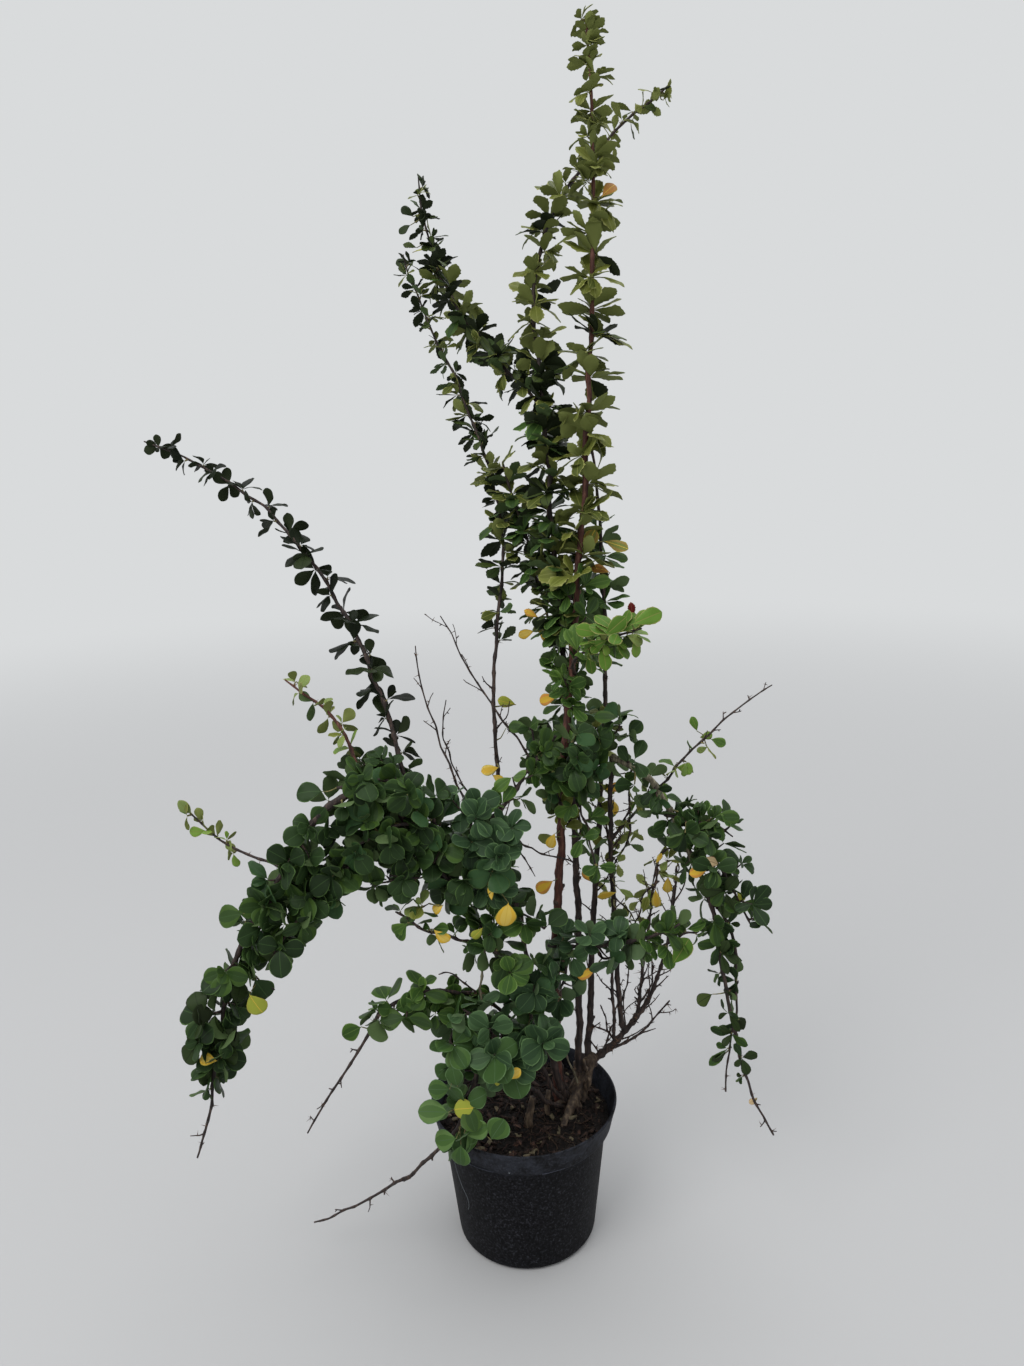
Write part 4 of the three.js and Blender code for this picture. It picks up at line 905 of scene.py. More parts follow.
def large_rosettes():
    """The few big whorls at the front, with the largest leaves of the plant."""
    rng = rng_for("large")
    fol = foliage("front_low")
    for limb, share, reach, out, k, length, family in (
            ("front_low_a", 0.55, (-4, -20, 2), (0.05, -1.0, 0.45), 10, 28, "teal_light"),
            ("front_low_a", 0.95, (4, -18, 2), (0.30, -1.0, 0.45), 8, 26, "teal_light"),
            ("front_low_b", 0.60, (2, -18, -10), (-0.15, -1.0, 0.30), 8, 26, "teal_light"),
            ("front_up_a", 0.75, (0, -18, 6), (0.05, -1.0, 0.30), 6, 20, "teal"),
            ("front_up_c", 0.90, (4, -20, 4), (0.10, -1.0, 0.35), 6, 19, "teal"),
            ("front_mid_c", 0.80, (0, -18, 2), (0.10, -1.0, 0.20), 7, 21, "teal")):
        path = PATHS[limb]
        p = path.at(span(limb, share, 1.0)[0])
        tip = p + np.asarray(reach, float)
        twig("twigs_front", [p, 0.5 * (p + tip) - UP * 1.5, tip], 0.95, 0.6)
        rosette(fol, rng, tip, np.asarray(out, float), k, length, "round", family, spread=1.05, tilt=0.42)


large_rosettes()

# Single leaves that stand out: where the blade's middle is, its length, kind, tone and which way it points as seen
# from the front (0 to the right, 90 up).
SINGLE = [
    (45, 60, 694, 20, "obovate", "yellow_a", 250),
    (75, 30, 697, 24, "oblong", "bronze", 80),
    (101, 36, 693, 24, "oblong", "bronze", 340),
    (88, 40, 671, 19, "oblong", "amber", 150),
    (98, 48, 997, 19, "obovate", "amber", 40),
    (-219, -118, 341, 24, "round", "deep_b", 300),
    (-151, -90, 281, 19, "round", "mid_a", 200),
    (-185, -107, 402, 23, "round", "deep_c", 250),
    (-173, -82, 505, 24, "round", "deep_b", 170),
    (-240, -118, 410, 24, "round", "deep_c", 190),
    # painted shade: darker tones for these single leaves in shade
    (173, -40, 272, 19, "obovate", "dusk_c", 190),
    (186, -50, 216, 16, "obovate", "dusk_a", 200),
    (-78, 190, 980, 16, "obovate", "lime", 200),
    (17, 80, 605, 17, "obovate", "yellow_a", 200),
    (34, 60, 605, 16, "obovate", "yellow_a", 330),
    (35, 40, 548, 20, "obovate", "orange", 190),
    (-4, 80, 535, 20, "obovate", "lime", 160),
    (3, 78, 511, 20, "elliptic", "olive_b", 10),
    (-10, -88, 387, 25, "round", "yellow_a", 250),
    (-23, -84, 407, 15, "narrow", "yellow_a", 90),
    (34, 0, 419, 17, "obovate", "yellow_a", 250),
    (27, 10, 368, 20, "obovate", "orange", 200),
    (97, 40, 456, 17, "obovate", "orange", 20),
    (97, 40, 437, 18, "obovate", "yellow_b", 300),
    (71, 40, 364, 17, "obovate", "orange", 120),
    (88, 20, 352, 20, "elliptic", "yellow_b", 200),
    (146, 10, 364, 20, "elliptic", "yellow_a", 250),
    (135, 10, 350, 22, "elliptic", "yellow_b", 280),
    (124, 10, 345, 18, "elliptic", "olive_b", 70),
    (136, 0, 397, 12, "elliptic", "yellow_b", 60),
    (167, -36, 399, 18, "obovate", "orange", 200),
    (176, -38, 410, 17, "obovate", "buff", 350),
    (207, -34, 372, 13, "obovate", "lime", 300),
    (102, 10, 338, 16, "elliptic", "light_a", 320),
    (106, 10, 358, 18, "narrow", "light_a", 330),
    (63, -30, 296, 20, "obovate", "orange", 200),
    (22, 60, 627, 16, "elliptic", "orange", 160),
    (-223, -128, 333, 22, "round", "lime", 300),
    (-265, -136, 288, 17, "obovate", "yellow_a", 170),
    (-9, -96, 236, 17, "obovate", "yellow_a", 40),
    (-21, -92, 232, 17, "obovate", "lime", 250),
    (-68, -90, 370, 18, "obovate", "yellow_a", 300),
    (-22, 20, 485, 18, "obovate", "yellow_b", 170),
    (-15, 20, 476, 14, "obovate", "yellow_a", 330),
    (-70, -84, 394, 13, "obovate", "yellow_a", 200),
    (-36, -80, 367, 15, "obovate", "lime", 230),
    (-53, -96, 203, 20, "round", "lime", 180),
    (151, -36, 318, 30, "obovate", "bright_c", 60),
    (107, -30, 642, 15, "elliptic", "red", 100),
    (116, -58, 640, 28, "oblong", "bright_a", 25),
    (107, -56, 622, 18, "oblong", "light_a", 340),
    (90, -52, 632, 24, "oblong", "bright_c", 50),
    (68, -44, 628, 22, "oblong", "bright_a", 165),
    (74, -44, 614, 24, "oblong", "bright_c", 200),
    (-81, -104, 207, 28, "round", "low_c", 170),
    (-25, -104, 186, 25, "round", "low_a", 60),
    (-45, -102, 184, 24, "round", "low_c", 30),
    (-59, -104, 159, 24, "round", "low_a", 260),
    (-72, -104, 177, 22, "round", "low_c", 200),
    (-61, -100, 236, 20, "round", "low_b", 110),
    (-75, -100, 226, 20, "round", "low_a", 170),
    # painted shade: darker tones for these single leaves of the backlit upper-left tip
    (-88, 200, 987, 15, "elliptic", "dusk_c", 160),
    (-96, 200, 971, 16, "obovate", "dusk_a", 190),
    (-90, 212, 1021, 15, "obovate", "dusk_b", 130),
    (-94, 210, 1005, 15, "obovate", "dusk_a", 200),
    (181, 64, 511, 16, "obovate", "bright_c", 100),
    (192, 62, 499, 13, "obovate", "bright_b", 20),
    (204, 62, 493, 16, "obovate", "mid_b", 350),
    (188, 60, 486, 12, "obovate", "light_a", 200),
    (160, 54, 469, 12, "narrow", "light_a", 250),
    (48, 30, 448, 20, "obovate", "olive_a", 130),
    (56, 30, 436, 20, "obovate", "olive_c", 300),
    (44, 30, 430, 16, "obovate", "lime", 250),
    (69, 40, 413, 18, "obovate", "mid_a", 300),
    (80, 40, 402, 16, "obovate", "olive_a", 330),
    (219, -52, 169, 10, "obovate", "buff", 230),
    (161, 128, 1095, 14, "elliptic", "olive_b", 50),
    (-280, -82, 493, 16, "round", "light_a", 130),
]


def near_wood(p):
    """The nearest point on any limb or side bough."""
    best = None
    for name, path in PATHS.items():
        d = np.linalg.norm(path.p - p, axis=1)
        i = int(np.argmin(d))
        if best is None or d[i] < best[0]:
            best = (d[i], path.p[i], name)
    return best


def single_leaves():
    rng = rng_for("single")
    fol = foliage("front_upper")
    for x, y, z, length, kind, tone, angle in SINGLE:
        a = math.radians(angle + rng.normal(0, 6))
        d = unit(np.array([math.cos(a), rng.uniform(-0.35, 0.05), math.sin(a)]))
        mid = np.array([x, y, z], float)
        base = mid - d * length * 0.5
        n = FRONT + 0.45 * UP + rng.normal(0, 0.22, 3)
        gap, at, limb = near_wood(base)
        if gap > 45:
            print("SINGLE far from wood", (x, y, z), round(float(gap)), limb)
            continue
        # a fine petiole, or for a longer way a twig, carries the blade from the nearest wood
        twig("twigs_single", [at, 0.5 * (at + base) + rng.normal(0, 1.2, 3) - UP * 1.0, base + d * 0.6],
             0.6 if gap < 20 else 0.8, 0.35, "twig_green")
        fol.leaf(rng, base, d, n, length, kind, tone, curl=rng.normal(0.25, 0.15))


single_leaves()


def bare_nodes(limb, spacing, spine, size=9, stubs=0.3, group="twigs_bare"):
    """Buds, spur stubs and spines on a bare length of a limb."""
    rng = rng_for("bare" + limb)
    path = PATHS[limb]
    taken = [s for s, _ in NODES[limb]]
    s, turn = spacing * 0.6, rng.uniform(0, 6.28)
    while s < path.length - 2:
        turn += 2.399 + rng.normal(0, 0.3)
        if not taken or min(abs(s - q) for q in taken) > spacing * 0.6:
            t = path.tangent(s)
            u = across(t)
            out = math.cos(turn) * u + math.sin(turn) * np.cross(t, u)
            p = path.at(s) + out * radius_at(limb, s) * 0.6
            NODES[limb].append((s, out))
            if rng.random() < spine:
                spines(group, rng, p, out, t, size * rng.uniform(0.7, 1.2))
            if rng.random() < stubs:
                q = p + unit(out + 0.6 * t) * rng.uniform(2.5, 5)
                twig(group, [p, q], radius_at(limb, s) * 0.55, radius_at(limb, s) * 0.45)
        s += spacing * rng.uniform(0.8, 1.2)


def bare_twigs(limb, a, b, spacing, reach, group="twigs_bare"):
    """Short leafless side twigs with their own spurs and spines."""
    rng = rng_for("sub" + limb)
    path = PATHS[limb]
    s, high = span(limb, a, b)
    turn = rng.uniform(0, 6.28)
    while s < high:
        turn += 2.399 + rng.normal(0, 0.4)
        t = path.tangent(s)
        u = across(t)
        out = math.cos(turn) * u + math.sin(turn) * np.cross(t, u)
        NODES[limb].append((s, out))
        r = radius_at(limb, s)
        p = path.at(s) + out * r * 0.4
        l = reach * rng.uniform(0.4, 1.1)
        axis = unit(out + 0.9 * t + 0.25 * UP)
        line, here, step = [p], p, max(4.0, l / 5)
        while np.linalg.norm(here - p) < l and len(line) < 9:
            axis = unit(axis + rng.normal(0, 0.16, 3) + 0.06 * UP)
            here = here + axis * step
            line.append(here)
        fine = Path(line)
        twig(group, line, min(0.85, r * 0.6), 0.38)
        q = 6.0
        while q < fine.length:
            tt = fine.tangent(q)
            v = across(tt)
            spin = rng.uniform(0, 6.28)
            side = math.cos(spin) * v + math.sin(spin) * np.cross(tt, v)
            at = fine.at(q)
            if rng.random() < 0.6:
                spines(group, rng, at, side, tt, rng.uniform(4, 7))
            else:
                twig(group, [at, at + unit(side + 0.5 * tt) * rng.uniform(2, 4)], 0.5, 0.4)
            q += rng.uniform(7, 12)
        s += spacing * rng.uniform(0.7, 1.3)


for _limb, _a, _b, _gap, _reach in (
        ("stem_thorny", 0.12, 0.95, 13, 36), ("twig_thorny_mid", 0.15, 0.95, 14, 30), ("twig_thorny_low", 0.2, 0.95, 15, 26),
        ("d_long", 0.1, 0.9, 18, 28), ("b_mid", 0.1, 0.9, 22, 28), ("c_up", 0.2, 0.9, 15, 22), ("f_up", 0.2, 0.9, 14, 16),
        ("twig_bare_left", 0.15, 0.95, 22, 16), ("twig_bare_mid", 0.15, 0.95, 24, 20), ("f_bare2", 0.2, 0.95, 20, 14),
        ("twig_low_tip", 0.3, 0.95, 26, 10), ("bough_left_hang", 0.84, 0.98, 16, 9), ("bough_right_hang", 0.82, 0.98, 16, 9),
        ("bough_front_hang", 0.55, 0.95, 30, 12), ("twig_right_out", 0.6, 0.98, 16, 10), ("stem_left", 0.35, 0.85, 34, 26),
        ("stem_rear", 0.08, 0.4, 30, 24), ("stem_mid", 0.1, 0.4, 34, 22), ("bough_right_rise", 0.1, 0.9, 32, 22),
        ("arc_in", 0.1, 0.9, 20, 14), ("arc_in2", 0.1, 0.9, 20, 16), ("h_down", 0.1, 0.9, 16, 14), ("left_in", 0.2, 0.9, 20, 12)):
    bare_twigs(_limb, _a, _b, _gap, _reach)

for _name in list(LIMBS) + list(SIDE):
    _thorny = _name in ("stem_thorny", "twig_thorny_mid", "twig_thorny_low", "c_up", "c_fork", "d_long", "f_up",
                        "g_left", "g_left2", "g_low", "g_up", "b_mid")
    bare_nodes(_name, 10 if _thorny else 15, 0.6 if _thorny else 0.45, 8 if _thorny else 7, 0.5 if _thorny else 0.25)


# ---------------------------------------------------------------- building the plant

def build_plant():
    names = {}
    for name in LIMBS:
        foot, tip, leave, arrive, r0, r1, bark = LIMBS[name]
        batch = Batch()
        seed = zlib.crc32(name.encode())
        thick = r0 > 2.5
        thorny = "thorny" in name
        tube(batch, PATHS[name], r0, r1, bark, seed, step=2.0 if thorny else 2.6 if thick else 3.0, sides=14 if thick else 10,
             ridge=0.06, lobes=5, rough=0.08 if thorny else 0.05, nodes=NODES[name],
             swell=0.75 if thorny else 0.32 if thick else 0.55, power=1.7 if thorny else 0.85,
             flare=0.35 if name.startswith("stem") and foot[2] < 180 else 0.0)
        obj = batch.build("bark_" + name)
        place(obj, "stem", *([] if name in SCENE_ONLY else [name]))
        names[name] = obj
    batch = Batch()
    for name, (r0, r1, bark, _) in SIDE.items():
        tube(batch, PATHS[name], r0, r1, bark, zlib.crc32(name.encode()), step=2.2, sides=8, nodes=NODES[name], swell=0.8)
    place(batch.build("side_boughs"), "stem")
    for group, rows in TWIGS.items():
        batch = Batch()
        for i, (path, r0, r1, mat) in enumerate(rows):
            tube(batch, path, r0, r1, mat, i + 7, step=4.0 if path.length > 8 else 2.5, sides=6, ridge=0.0, rough=0.10,
                 flare=0.3)
        place(batch.build(group), "stem")
    batch = Batch()
    for rows in SPINES.values():
        for p, d, size in rows:
            cone(batch, p, d, size, 0.42, "spine")
    place(batch.build("spines"), "stem")
    total = 0
    for mass, fol in FOLIAGE.items():
        node = "leaves_" + mass
        obj = fol.build("foliage_" + mass)
        place(obj, "foliage", *([node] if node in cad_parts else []))
        total += fol.count()
    most = max(FOLIAGE, key=lambda m: FOLIAGE[m].count())
    print("LEAVES", total, "TRIS", total * len(TEMPLATES["round"][1]), "MOST", most, FOLIAGE[most].count())


build_plant()


# ---------------------------------------------------------------- root crown

CROWN_FOOT, CROWN_TOP = np.array([48, 5, 122.0]), np.array([70, 22, 172.0])


def build_crown():
    batch = Batch()
    rows, cols = 44, 72
    ang = np.linspace(0, 2 * math.pi, cols, endpoint=False)
    v = []
    for i in range(rows):
        s = i / (rows - 1)
        centre = CROWN_FOOT + (CROWN_TOP - CROWN_FOOT) * s
        radius = 7.0 + (14 - 7.0) * (1 - s) ** 2.2
        for a in ang:
            d = Vector((math.cos(a), math.sin(a), 0))
            lobe = 0.12 * (1 - s) ** 0.6 * math.cos(4 * a + 1.8 * s + 0.6) + 0.07 * math.cos(9 * a - 3.0 * s + 2.1)
            fine = 0.16 * noise.noise(Vector((d.x * 7, d.y * 7, s * 9 + 4))) + 0.03 * math.sin(26 * a + 9 * s)
            lump = 0.34 * noise.noise(Vector((d.x * 2.2, d.y * 2.2, s * 5.5)))
            r = radius * (1 + lobe + fine + lump)
            v.append(centre + r * np.array([d.x, d.y, 0.0]))
    v = np.array(v + [CROWN_FOOT - np.array([0, 0, 4]), CROWN_TOP + np.array([1, 1, 5])])
    batch.add(v, np.concatenate([grid_faces(rows, cols), caps(rows, cols)]), "bark_crown")
    # surface roots that run out from the crown and dive into the compost
    rng = rng_for("roots")
    for a, l in ((0.6, 15), (3.7, 18), (5.3, 14)):
        d = np.array([math.cos(a), math.sin(a), 0])
        side = np.array([-d[1], d[0], 0])
        p0 = CROWN_FOOT + d * 8 + np.array([0, 0, 15])
        pts = [p0, p0 + d * l * 0.35 + side * rng.normal(0, 2) - UP * 5, p0 + d * l * 0.7 + side * rng.normal(0, 4) - UP * 10,
               p0 + d * l + side * rng.normal(0, 6) - UP * 17]
        tube(batch, through(pts), 3.6, 1.2, "bark_crown", int(a * 100), step=1.8, sides=12, ridge=0.14, lobes=4, rough=0.1)
    # the trunk's toe, which runs down to the front, and two old dead stumps in front of the crown
    tube(batch, through([(62, 13, 156), (54, 3, 144), (46, -11, 136), (38, -28, 128)]), 6.2, 3.4, "bark_crown", 31, step=1.6,
         sides=16, ridge=0.13, lobes=5, rough=0.09)
    tube(batch, through([(5, -27, 124), (4, -27, 138), (7, -25, 150), (9, -24, 160)]), 3.8, 2.7, "bark_crown", 17, step=1.8,
         sides=14, ridge=0.16, lobes=4, rough=0.12, tip=0.1)
    tube(batch, through([(24, -12, 124), (23, -11, 140), (25, -9, 156)]), 3.2, 2.2, "bark_crown", 23, step=1.8, sides=12,
         ridge=0.14, lobes=4, rough=0.12, tip=0.1)
    # cut and broken stubs on the crown
    for a, z, l, r in ((2.0, 150, 15, 2.6), (3.6, 156, 12, 2.2), (5.2, 148, 17, 2.8), (0.8, 160, 13, 2.3), (4.4, 164, 20, 1.7)):
        d = np.array([math.cos(a), math.sin(a), 0])
        s = (z - 122) / 50
        p = CROWN_FOOT + (CROWN_TOP - CROWN_FOOT) * s + d * 7
        tube(batch, Path([p, p + unit(d + 1.1 * UP) * l * 0.5, p + unit(d + 1.8 * UP) * l]), r, r * 0.72, "bark_crown",
             int(z), step=1.6, sides=10, ridge=0.1, rough=0.09, tip=0.2, flare=0.6)
    place(batch.build("crown_wood"), "root_crown", "root_crown")


build_crown()


# ---------------------------------------------------------------- pot

def lathe(batch, profile, seg, mat, wobble=0.0):
    """A turned form whose profile starts and ends on the axis."""
    r, z = np.array(profile, float).T
    ang = np.linspace(0, 2 * math.pi, seg, endpoint=False)
    wave = 1 + wobble * np.cos(2 * ang + 0.7) + wobble * 0.5 * np.cos(3 * ang + 2.0)
    inner_r, inner_z = r[1:-1], z[1:-1]
    share = np.clip(inner_z / 147, 0, 1)
    rr = inner_r[:, None] * (1 + (wave[None, :] - 1) * share[:, None])
    v = np.stack([rr * np.cos(ang), rr * np.sin(ang), np.repeat(inner_z[:, None], seg, 1)], -1).reshape(-1, 3)
    v = np.concatenate([v, [[0, 0, z[0]], [0, 0, z[-1]]]])
    batch.add(v, np.concatenate([grid_faces(len(inner_r), seg), caps(len(inner_r), seg)]), mat)


def pot_material():
    mat, bsdf, nodes, links = principled("pot_plastic", srgb(21, 21, 24), 0.62, 0.1)
    coord = nodes.new("ShaderNodeTexCoord")
    split = nodes.new("ShaderNodeSeparateXYZ")
    links.new(coord.outputs["Object"], split.inputs["Vector"])
    # fine speckle of the recycled plastic
    speck = nodes.new("ShaderNodeTexNoise")
    speck.inputs["Scale"].default_value = 430
    speck.inputs["Detail"].default_value = 5
    speck.inputs["Roughness"].default_value = 0.65
    links.new(coord.outputs["Object"], speck.inputs["Vector"])
    ramp = nodes.new("ShaderNodeValToRGB")
    ramp.color_ramp.elements[0].position, ramp.color_ramp.elements[0].color = 0.38, (*srgb(4, 4, 6), 1)
    ramp.color_ramp.elements[1].position, ramp.color_ramp.elements[1].color = 0.70, (*srgb(50, 51, 57), 1)
    ramp.color_ramp.elements.new(0.54).color = (*srgb(18, 18, 21), 1)
    links.new(speck.outputs["Fac"], ramp.inputs["Fac"])
    # dust and scuffs, thickest on the collar and its lower edge
    scuff = nodes.new("ShaderNodeTexNoise")
    scuff.inputs["Scale"].default_value = 42
    scuff.inputs["Detail"].default_value = 7
    scuff.inputs["Roughness"].default_value = 0.7
    links.new(coord.outputs["Object"], scuff.inputs["Vector"])
    collar = nodes.new("ShaderNodeMapRange")
    collar.inputs["From Min"].default_value, collar.inputs["From Max"].default_value = 0.112, 0.134
    links.new(split.outputs["Z"], collar.inputs["Value"])
    fade = nodes.new("ShaderNodeMapRange")
    fade.inputs["From Min"].default_value, fade.inputs["From Max"].default_value = 0.40, 0.72
    links.new(scuff.outputs["Fac"], fade.inputs["Value"])
    amount = nodes.new("ShaderNodeMath")
    amount.operation = "MULTIPLY"
    links.new(collar.outputs["Result"], amount.inputs[0])
    links.new(fade.outputs["Result"], amount.inputs[1])
    mix = nodes.new("ShaderNodeMix")
    mix.data_type = "RGBA"
    links.new(amount.outputs["Value"], mix.inputs["Factor"])
    links.new(ramp.outputs["Color"], mix.inputs["A"])
    mix.inputs["B"].default_value = (*srgb(56, 59, 68), 1)
    links.new(mix.outputs["Result"], bsdf.inputs["Base Color"])
    rough = nodes.new("ShaderNodeMapRange")
    rough.inputs["To Min"].default_value, rough.inputs["To Max"].default_value = 0.5, 0.72
    links.new(scuff.outputs["Fac"], rough.inputs["Value"])
    links.new(rough.outputs["Result"], bsdf.inputs["Roughness"])
    bump = nodes.new("ShaderNodeBump")
    bump.inputs["Strength"].default_value = 0.35
    bump.inputs["Distance"].default_value = 0.0004
    links.new(speck.outputs["Fac"], bump.inputs["Height"])
    links.new(bump.outputs["Normal"], bsdf.inputs["Normal"])


pot_material()
principled("pot_scratch", srgb(96, 102, 106), 0.7, 0.2)
principled("pot_rubbed", srgb(58, 61, 70), 0.75, 0.1)


def wall(z):
    return 70.3 + (82.3 - 70.3) * (z - 6) / (121.5 - 6)


def build_pot():
    outer = [(0, 1.8), (30, 1.8), (53.5, 1.8), (54.6, 1.3), (55.4, 0.2), (56.2, 0), (62.6, 0), (64.8, 0.2), (67.0, 1.0), (68.8, 2.3), (69.9, 4.0)]
    outer += [(wall(z), z) for z in (6, 12, 24, 36, 48, 60, 72, 84, 96, 106, 114, 119, 121.0)]
    outer += [(83.1, 121.9), (85.6, 122.5), (87.2, 122.9), (87.9, 123.5), (88.1, 124.4)]
    outer += [(88.1 + (92.8 - 88.1) * (z - 124.4) / 21.3, z) for z in (128, 134, 140, 144)]
    outer += [(93.1, 145.4), (93.0, 146.4), (92.3, 147.0), (91.4, 147.0), (90.9, 146.4)]
    inner = [(90.3, 144), (86.9, 129), (85.9, 125.4), (84.6, 123.6), (81.4, 121.9), (80.1, 120)]
    inner += [(68.1 + (80.1 - 68.1) * (z - 3) / 117, z) for z in (90, 60, 30, 8)] + [(68.0, 4.6), (66.4, 3.2), (40, 3.0), (0, 3.0)]
    batch = Batch()
    lathe(batch, outer + inner, 192, "pot_plastic", wobble=0.0035)
    obj = batch.build("pot_shell")
    # drain holes through the floor
    cut = Batch()
    for i in range(8):
        a = i * math.pi / 4 + 0.2
        ang = np.linspace(0, 2 * math.pi, 20, endpoint=False)
        ring = np.stack([46 * math.cos(a) + 5.0 * np.cos(ang), 46 * math.sin(a) + 5.0 * np.sin(ang)], -1)
        v = np.concatenate([np.c_[ring, np.full(20, -3.0)], np.c_[ring, np.full(20, 6.0)],
                            [[46 * math.cos(a), 46 * math.sin(a), -3], [46 * math.cos(a), 46 * math.sin(a), 6]]])
        cut.add(v, np.concatenate([grid_faces(2, 20), caps(2, 20)]), "pot_plastic")
    cutter = cut.build("cutter")
    mod = obj.modifiers.new("holes", "BOOLEAN")
    mod.operation, mod.solver, mod.object = "DIFFERENCE", "EXACT", cutter
    bpy.context.view_layer.update()
    done = bpy.data.meshes.new_from_object(obj.evaluated_get(bpy.context.evaluated_depsgraph_get()))
    obj.modifiers.clear()
    obj.data = done
    bpy.data.objects.remove(cutter)
    done.polygons.foreach_set("use_smooth", np.ones(len(done.polygons), bool))
    done.set_sharp_from_angle(angle=math.radians(38))
    place(obj, "pot", "pot")
    # a thin pale scratch down the left of the wall
    batch = Batch()
    pts = []
    for a, z in ((-2.62, 116), (-2.63, 104), (-2.60, 92), (-2.52, 78), (-2.44, 70), (-2.42, 62), (-2.45, 54)):
        r = wall(z) - 0.1
        pts.append((r * math.cos(a), r * math.sin(a), z))
    tube(batch, through(pts), 0.42, 0.3, "pot_scratch", 5, step=2.0, sides=6, ridge=0, rough=0.1)
    # rubbed lengths of the collar's lower edge, and one pale fleck on the collar
    for first, last in ((-2.26, -1.93), (-1.40, -1.14), (0.3, 0.8), (1.9, 2.2)):
        edge = [(88.0 * math.cos(a), 88.0 * math.sin(a), 123.9 + 0.25 * math.sin(9 * a)) for a in np.linspace(first, last, 9)]
        tube(batch, through(edge), 0.5, 0.25, "pot_rubbed", 9, step=1.6, sides=6, ridge=0, rough=0.25)
    a = -1.75
    out = np.array([math.cos(a), math.sin(a), 0.2])
    cone(batch, np.array([88.3 * math.cos(a), 88.3 * math.sin(a), 126.5]), out, 0.5, 0.9, "pot_scratch", sides=7)
    place(batch.build("pot_scuff"), "pot")


build_pot()


# ---------------------------------------------------------------- compost

def soil_material(name, dark, mid, pale, scale):
    mat, bsdf, nodes, links = principled(name, mid, 0.92, 0.2)
    coord = nodes.new("ShaderNodeTexCoord")
    big = nodes.new("ShaderNodeTexNoise")
    big.inputs["Scale"].default_value = scale
    big.inputs["Detail"].default_value = 8
    big.inputs["Roughness"].default_value = 0.72
    links.new(coord.outputs["Object"], big.inputs["Vector"])
    ramp = nodes.new("ShaderNodeValToRGB")
    ramp.color_ramp.elements[0].position, ramp.color_ramp.elements[0].color = 0.36, (*dark, 1)
    ramp.color_ramp.elements[1].position, ramp.color_ramp.elements[1].color = 0.70, (*pale, 1)
    ramp.color_ramp.elements.new(0.52).color = (*mid, 1)
    links.new(big.outputs["Fac"], ramp.inputs["Fac"])
    links.new(ramp.outputs["Color"], bsdf.inputs["Base Color"])
    bump = nodes.new("ShaderNodeBump")
    bump.inputs["Strength"].default_value = 0.9
    bump.inputs["Distance"].default_value = 0.0015
    links.new(big.outputs["Fac"], bump.inputs["Height"])
    links.new(bump.outputs["Normal"], bsdf.inputs["Normal"])


soil_material("compost", srgb(7, 6, 6), srgb(20, 16, 15), srgb(41, 32, 28), 130)
soil_material("crumb", srgb(14, 11, 10), srgb(29, 23, 20), srgb(54, 41, 34), 260)
soil_material("chip", srgb(30, 22, 19), srgb(48, 36, 31), srgb(76, 60, 51), 200)
soil_material("litter", srgb(36, 24, 22), srgb(54, 38, 34), srgb(82, 62, 54), 160)
soil_material("litter_pale", srgb(64, 57, 45), srgb(94, 86, 68), srgb(130, 121, 98), 160)
soil_material("fibre", srgb(38, 29, 24), srgb(62, 49, 40), srgb(102, 86, 69), 300)


def soil_height(x, y):
    r = math.hypot(x, y)
    h = 129.0 + 2.6 * noise.noise(Vector((x / 26, y / 26, 3.1))) * 2 + 1.5 * noise.noise(Vector((x / 8, y / 8, 7.7))) * 2
    h += 0.7 * noise.noise(Vector((x / 3, y / 3, 1.4))) * 2
    d = math.hypot(x - 48, y - 5)
    h += 6.5 * math.exp(-(d / 30) ** 2)                       # the mound round the crown
    return h - 3.5 * max(0.0, (r - 74) / 10) ** 2


